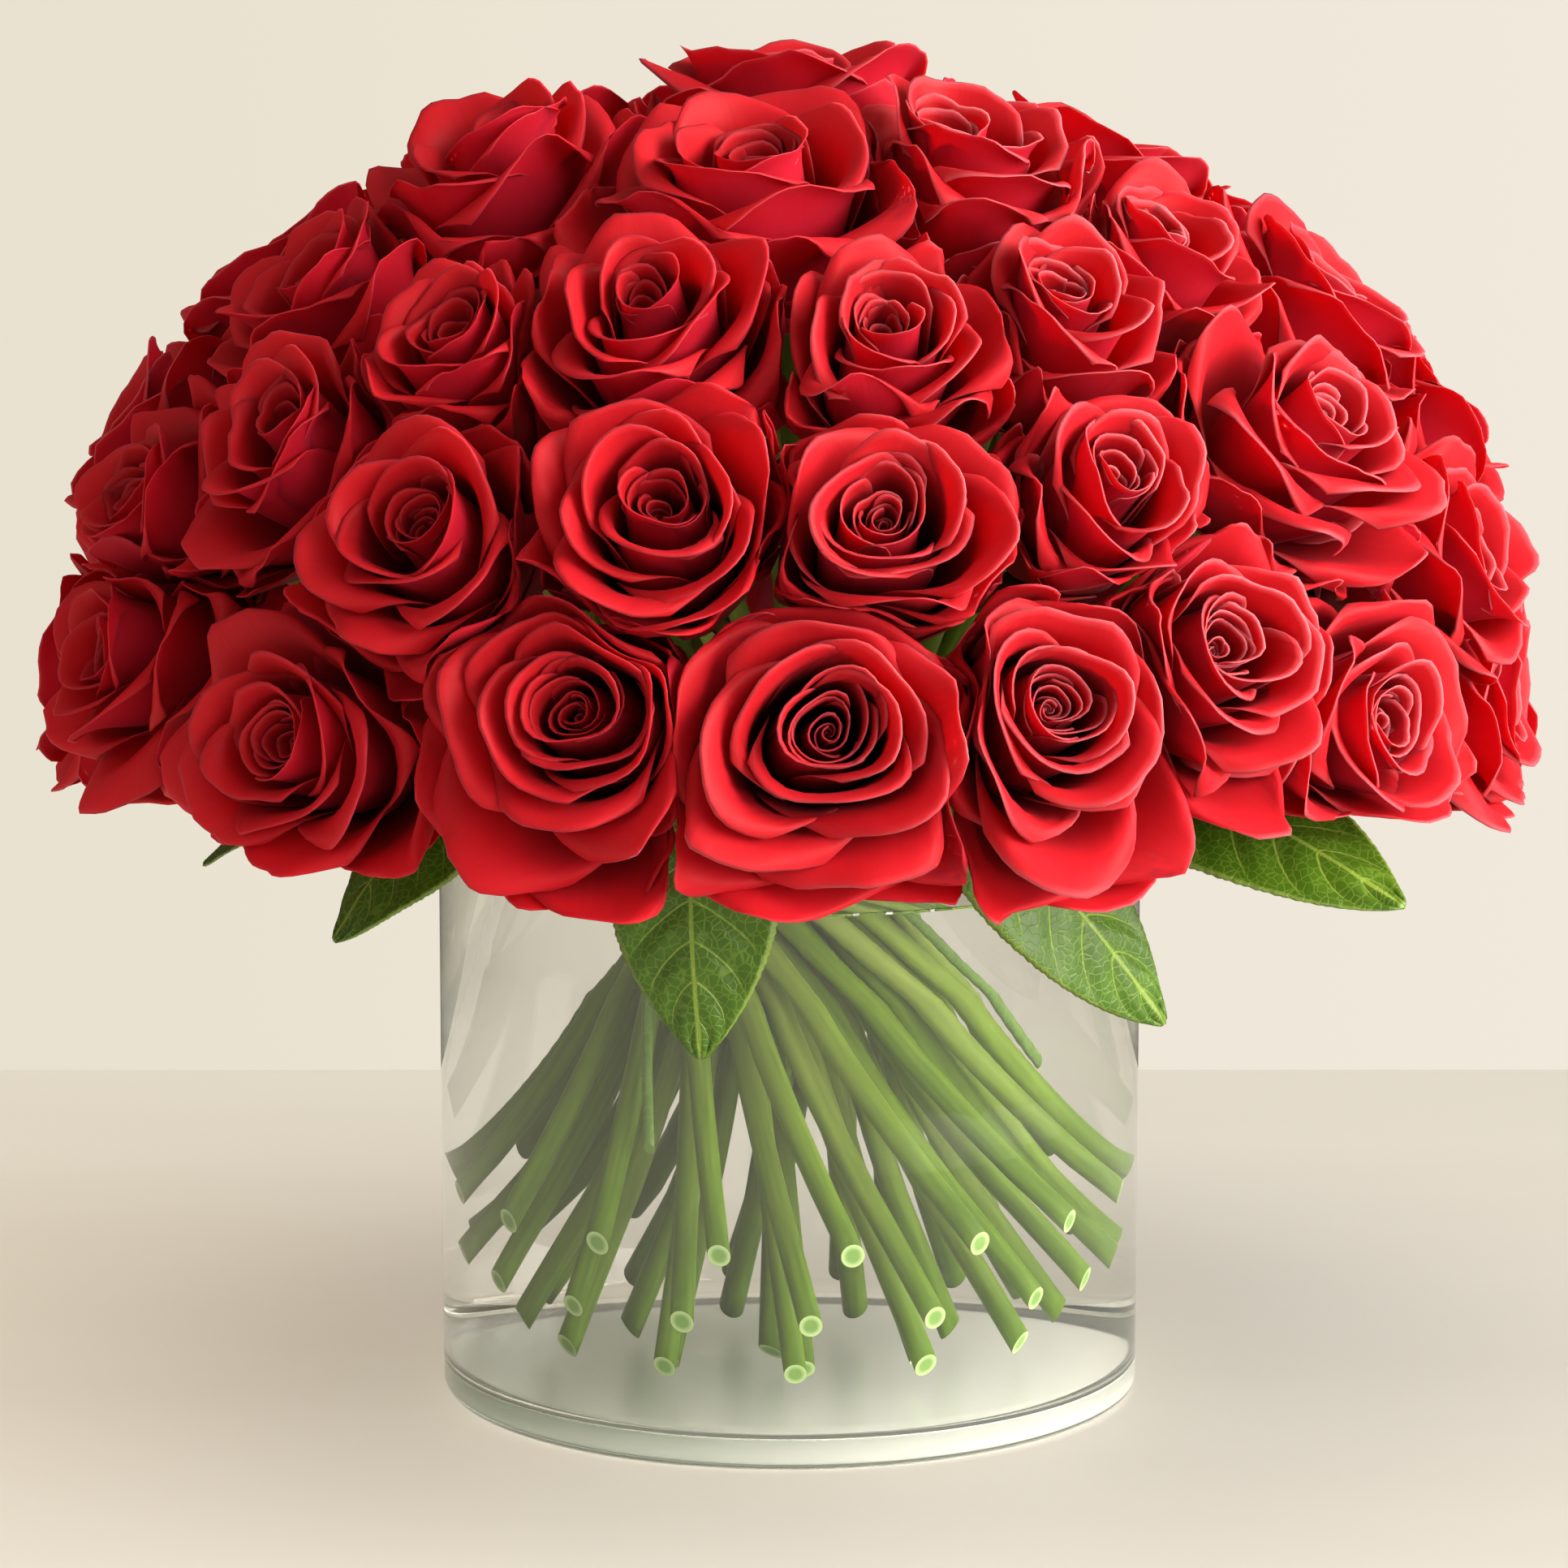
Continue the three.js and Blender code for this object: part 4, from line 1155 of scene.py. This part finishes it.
class ROSES_OT_water(bpy.types.Operator):
    """Builds the still water, which wets the glass and rises a little where it meets it"""

    bl_idname = "roses.water"
    bl_label = "Water"

    def execute(self, context):
        vase = context.scene.rose_vase
        # The water reaches this far into the glass, so that no air shows between the two
        wetting = 0.15 * MM
        radius = vase.radius - vase.wall + wetting
        climb = 2.2 * MM
        middle = vase.level - climb * 0.4
        profile = [
            (0, vase.base - wetting),
            *arc((radius - HOLLOW, vase.base - wetting + HOLLOW), HOLLOW, -90, 0, 9),
            (radius, vase.level * 0.5),
            (radius, vase.level + climb * 0.4),
            (radius - climb * 0.4, vase.level - climb * 0.1),
            (radius - climb, vase.level - climb * 0.35),
            (radius - climb * 3, middle),
            (0, middle),
        ]
        points, faces = closed_round(turned(profile, ROUND))
        water = make_mesh("still_water", points, faces)
        finish_piece(water, clear_water(), "water", "water")
        return {"FINISHED"}


# ------------------------------------------------------------------ stage


# Each lamp's place in metres, its side in metres, its watts, its colour and, if it doesn't light all, the
# collection that it lights. The table has lamps of its own: the wash, which the bunch doesn't shade, keeps
# it pale behind the glass too, and the other leaves a soft shade on its left.
LAMPS = {
    "window_right": ((1.95, -0.45, 1.2), 2.0, 86, "#fff8f0", "all_but_the_table"),
    "bounce_right": ((1.9, -1.0, 0.7), 1.8, 68, "#fff8f0", "all_but_the_table"),
    "fill_front": ((1.4, -1.6, 0.5), 1.4, 28, "#fff8f0", "all_but_the_table"),
    "bounce_left": ((-1.5, -1.7, 1.0), 1.6, 5, "#fff6ec", None),
    "table_wash": ((-0.3, -0.7, 2.2), 2.5, 63, "#fffaf2", "table_only"),
    "table_shade": ((1.6, -0.7, 1.5), 2.4, 38, "#dceaff", "table_only"),
    "stem_light": ((0.85, -1.5, 0.55), 0.5, 11, "#fffaf0", "stems_and_leaves"),
}
LIT = ("table_only", "all_but_the_table", "stems_and_leaves")
LAMPS_AIM = (0, 0, 0.2)
TABLE = {"left": -2.4, "right": 2.4, "front": -2.6, "back": 0.43, "thickness": 0.03}
# A thin card under the foot, which touches the glass there, so that no air mirrors; it is paler than the
# table, a painted pool of the light that the glass floor gathers onto the table: how far inside the glass's
# side it ends, how far it reaches into the glass and how many sides it has
CARD = {"inset": 13 * MM, "reach": 0.4 * MM, "sides": 96}
EYE = {"place": (-0.0016, -1.645, 0.441), "down": 9.2, "lens": 134.2}


def soft_light(name, spot, size, power, colour):
    """A large square lamp that looks at the middle of the bunch."""
    lamp = bpy.data.lights.new(name, "AREA")
    lamp.shape = "SQUARE"
    lamp.size = size
    lamp.energy = power
    lamp.color = linear(colour)[:3]
    thing = bpy.data.objects.new(name, lamp)
    bpy.context.scene.collection.objects.link(thing)
    aim = unit(np.subtract(LAMPS_AIM, spot))
    thing.location = spot
    thing.rotation_mode = "QUATERNION"
    thing.rotation_quaternion = Vector(aim).to_track_quat("-Z", "Y")
    return thing


def pale_room():
    """A world whose wall is a little paler on the right, where the window is. It is seen brighter, directly
    and behind the glass, than the light that it gives, and what the glass mirrors of it is dim."""
    world = bpy.data.worlds.new("pale_room")
    world.use_nodes = True
    tree = world.node_tree
    tree.nodes.clear()
    way = add(tree, "TexCoord", out="Generated")
    way_x, way_y = (add(tree, "SeparateXYZ", {0: way}, out=axis) for axis in "XY")
    rightward = add(tree, "MapRange", {"Value": way_x, "From Min": -0.14, "From Max": 0.14})
    wall = add(tree, "Mix", {SHARE: rightward, A: linear("#e9e1cf"), B: linear("#f1e9dc")}, **OF_COLOURS)
    behind = add(tree, "MapRange", {"Value": way_y, "From Min": -0.3, "From Max": 0.5})
    seen, through, mirrored = (
        add(tree, "LightPath", out=f"Is {kind} Ray") for kind in ("Camera", "Transmission", "Glossy")
    )
    glimpsed = add(tree, "Math", {0: through, 1: behind}, operation="MULTIPLY")
    either = add(tree, "Math", {0: seen, 1: glimpsed}, operation="MAXIMUM")
    bright = add(tree, "MapRange", {"Value": either, "To Min": 0.6, "To Max": 1.0})
    strength = add(tree, "Math", {0: mirrored, 1: -0.48, 2: bright}, operation="MULTIPLY_ADD")
    room = add(tree, "Background", {"Color": wall, "Strength": strength})
    add(tree, "OutputWorld", {"Surface": room})
    return world


class ROSES_OT_stage(bpy.types.Operator):
    """Builds the table top, the lamps, the pale surroundings and the camera"""

    bl_idname = "roses.stage"
    bl_label = "Table, lamps and camera"

    def execute(self, context):
        scene = context.scene
        outline = np.array([
            (TABLE[side], TABLE[end])
            for side, end in (("left", "front"), ("right", "front"), ("right", "back"), ("left", "back"))
        ])
        top = np.column_stack([outline, np.zeros(4)])
        points = np.concatenate([top, top - UP * TABLE["thickness"]])
        sides = [[i, i + 4, (i + 1) % 4 + 4, (i + 1) % 4] for i in range(4)]
        faces = np.array([[0, 1, 2, 3], [7, 6, 5, 4], *sides])
        table = make_mesh("table_top", points, faces)
        table.data.polygons.foreach_set("use_smooth", [False] * len(faces))
        table.data.materials.append(brushed_paint("painted_table_top", "#c9c3b6", "#d2ccc0"))
        radius, reach = context.scene.rose_vase.radius - CARD["inset"], CARD["reach"]
        rows = turned([(0, -MM), (radius, -MM), (radius, reach), (0, reach)], CARD["sides"])
        pad = make_mesh("table_pad", *closed_round(rows))
        # Painted light: the card is paler than the table, standing in for the light that the glass floor
        # gathers under it
        pad.data.materials.append(brushed_paint("card_with_painted_light", "#e2ddd3", "#e9e5dc"))
        scene.world = pale_room()
        scene.view_settings.view_transform = "Standard"

        lit = {name: bpy.data.collections.new(name) for name in LIT}
        for index, piece in enumerate((table, pad)):
            lit["table_only"].objects.link(piece)
            lit["all_but_the_table"].objects.link(piece)
            lit["all_but_the_table"].collection_objects[index].light_linking.link_state = "EXCLUDE"
        for piece in scene.objects:
            if piece.name.startswith(("stems", "leafy_twig")):
                lit["stems_and_leaves"].objects.link(piece)
        for name, (*lamp, group) in LAMPS.items():
            thing = soft_light(name, *lamp)
            if group:
                thing.light_linking.receiver_collection = lit[group]
            if name == "table_wash":
                thing.light_linking.blocker_collection = lit[group]

        lens = bpy.data.cameras.new("camera")
        lens.sensor_width = 36
        lens.lens = EYE["lens"]
        camera = bpy.data.objects.new("camera", lens)
        scene.collection.objects.link(camera)
        camera.location = EYE["place"]
        camera.rotation_euler = (math.radians(90 - EYE["down"]), 0, 0)
        scene.camera = camera
        return {"FINISHED"}


# ------------------------------------------------------------------ add-on


class ROSES_PT_panel(bpy.types.Panel):
    """Lists the steps that dress the roses"""

    bl_idname = "ROSES_PT_panel"
    bl_label = "Roses in a vase"
    bl_space_type = "VIEW_3D"
    bl_region_type = "UI"
    bl_category = "Roses"

    def draw(self, context):
        layout = self.layout
        for group in ("rose_petals", "rose_stems", "rose_vase"):
            settings = getattr(context.scene, group)
            for name in settings.__annotations__:
                layout.prop(settings, name)
        for step in STEPS:
            layout.operator(step.bl_idname)


STEPS = (ROSES_OT_vase, ROSES_OT_water, ROSES_OT_stems, ROSES_OT_petals, ROSES_OT_leaves, ROSES_OT_stage)
GROUPS = {"rose_petals": ROSES_PG_petals, "rose_stems": ROSES_PG_stems, "rose_vase": ROSES_PG_vase}


def register():
    for thing in (*GROUPS.values(), *STEPS, ROSES_PT_panel):
        bpy.utils.register_class(thing)
    for name, group in GROUPS.items():
        setattr(bpy.types.Scene, name, bpy.props.PointerProperty(type=group))


def unregister():
    for name in GROUPS:
        delattr(bpy.types.Scene, name)
    for thing in reversed((*GROUPS.values(), *STEPS, ROSES_PT_panel)):
        bpy.utils.unregister_class(thing)


def main():
    """Registers the add-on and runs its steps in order."""
    register()
    bpy.ops.roses.vase()
    bpy.ops.roses.water()
    bpy.ops.roses.stems()
    bpy.ops.roses.petals()
    bpy.ops.roses.leaves()
    bpy.ops.roses.stage()


if __name__ == "__main__":
    main()
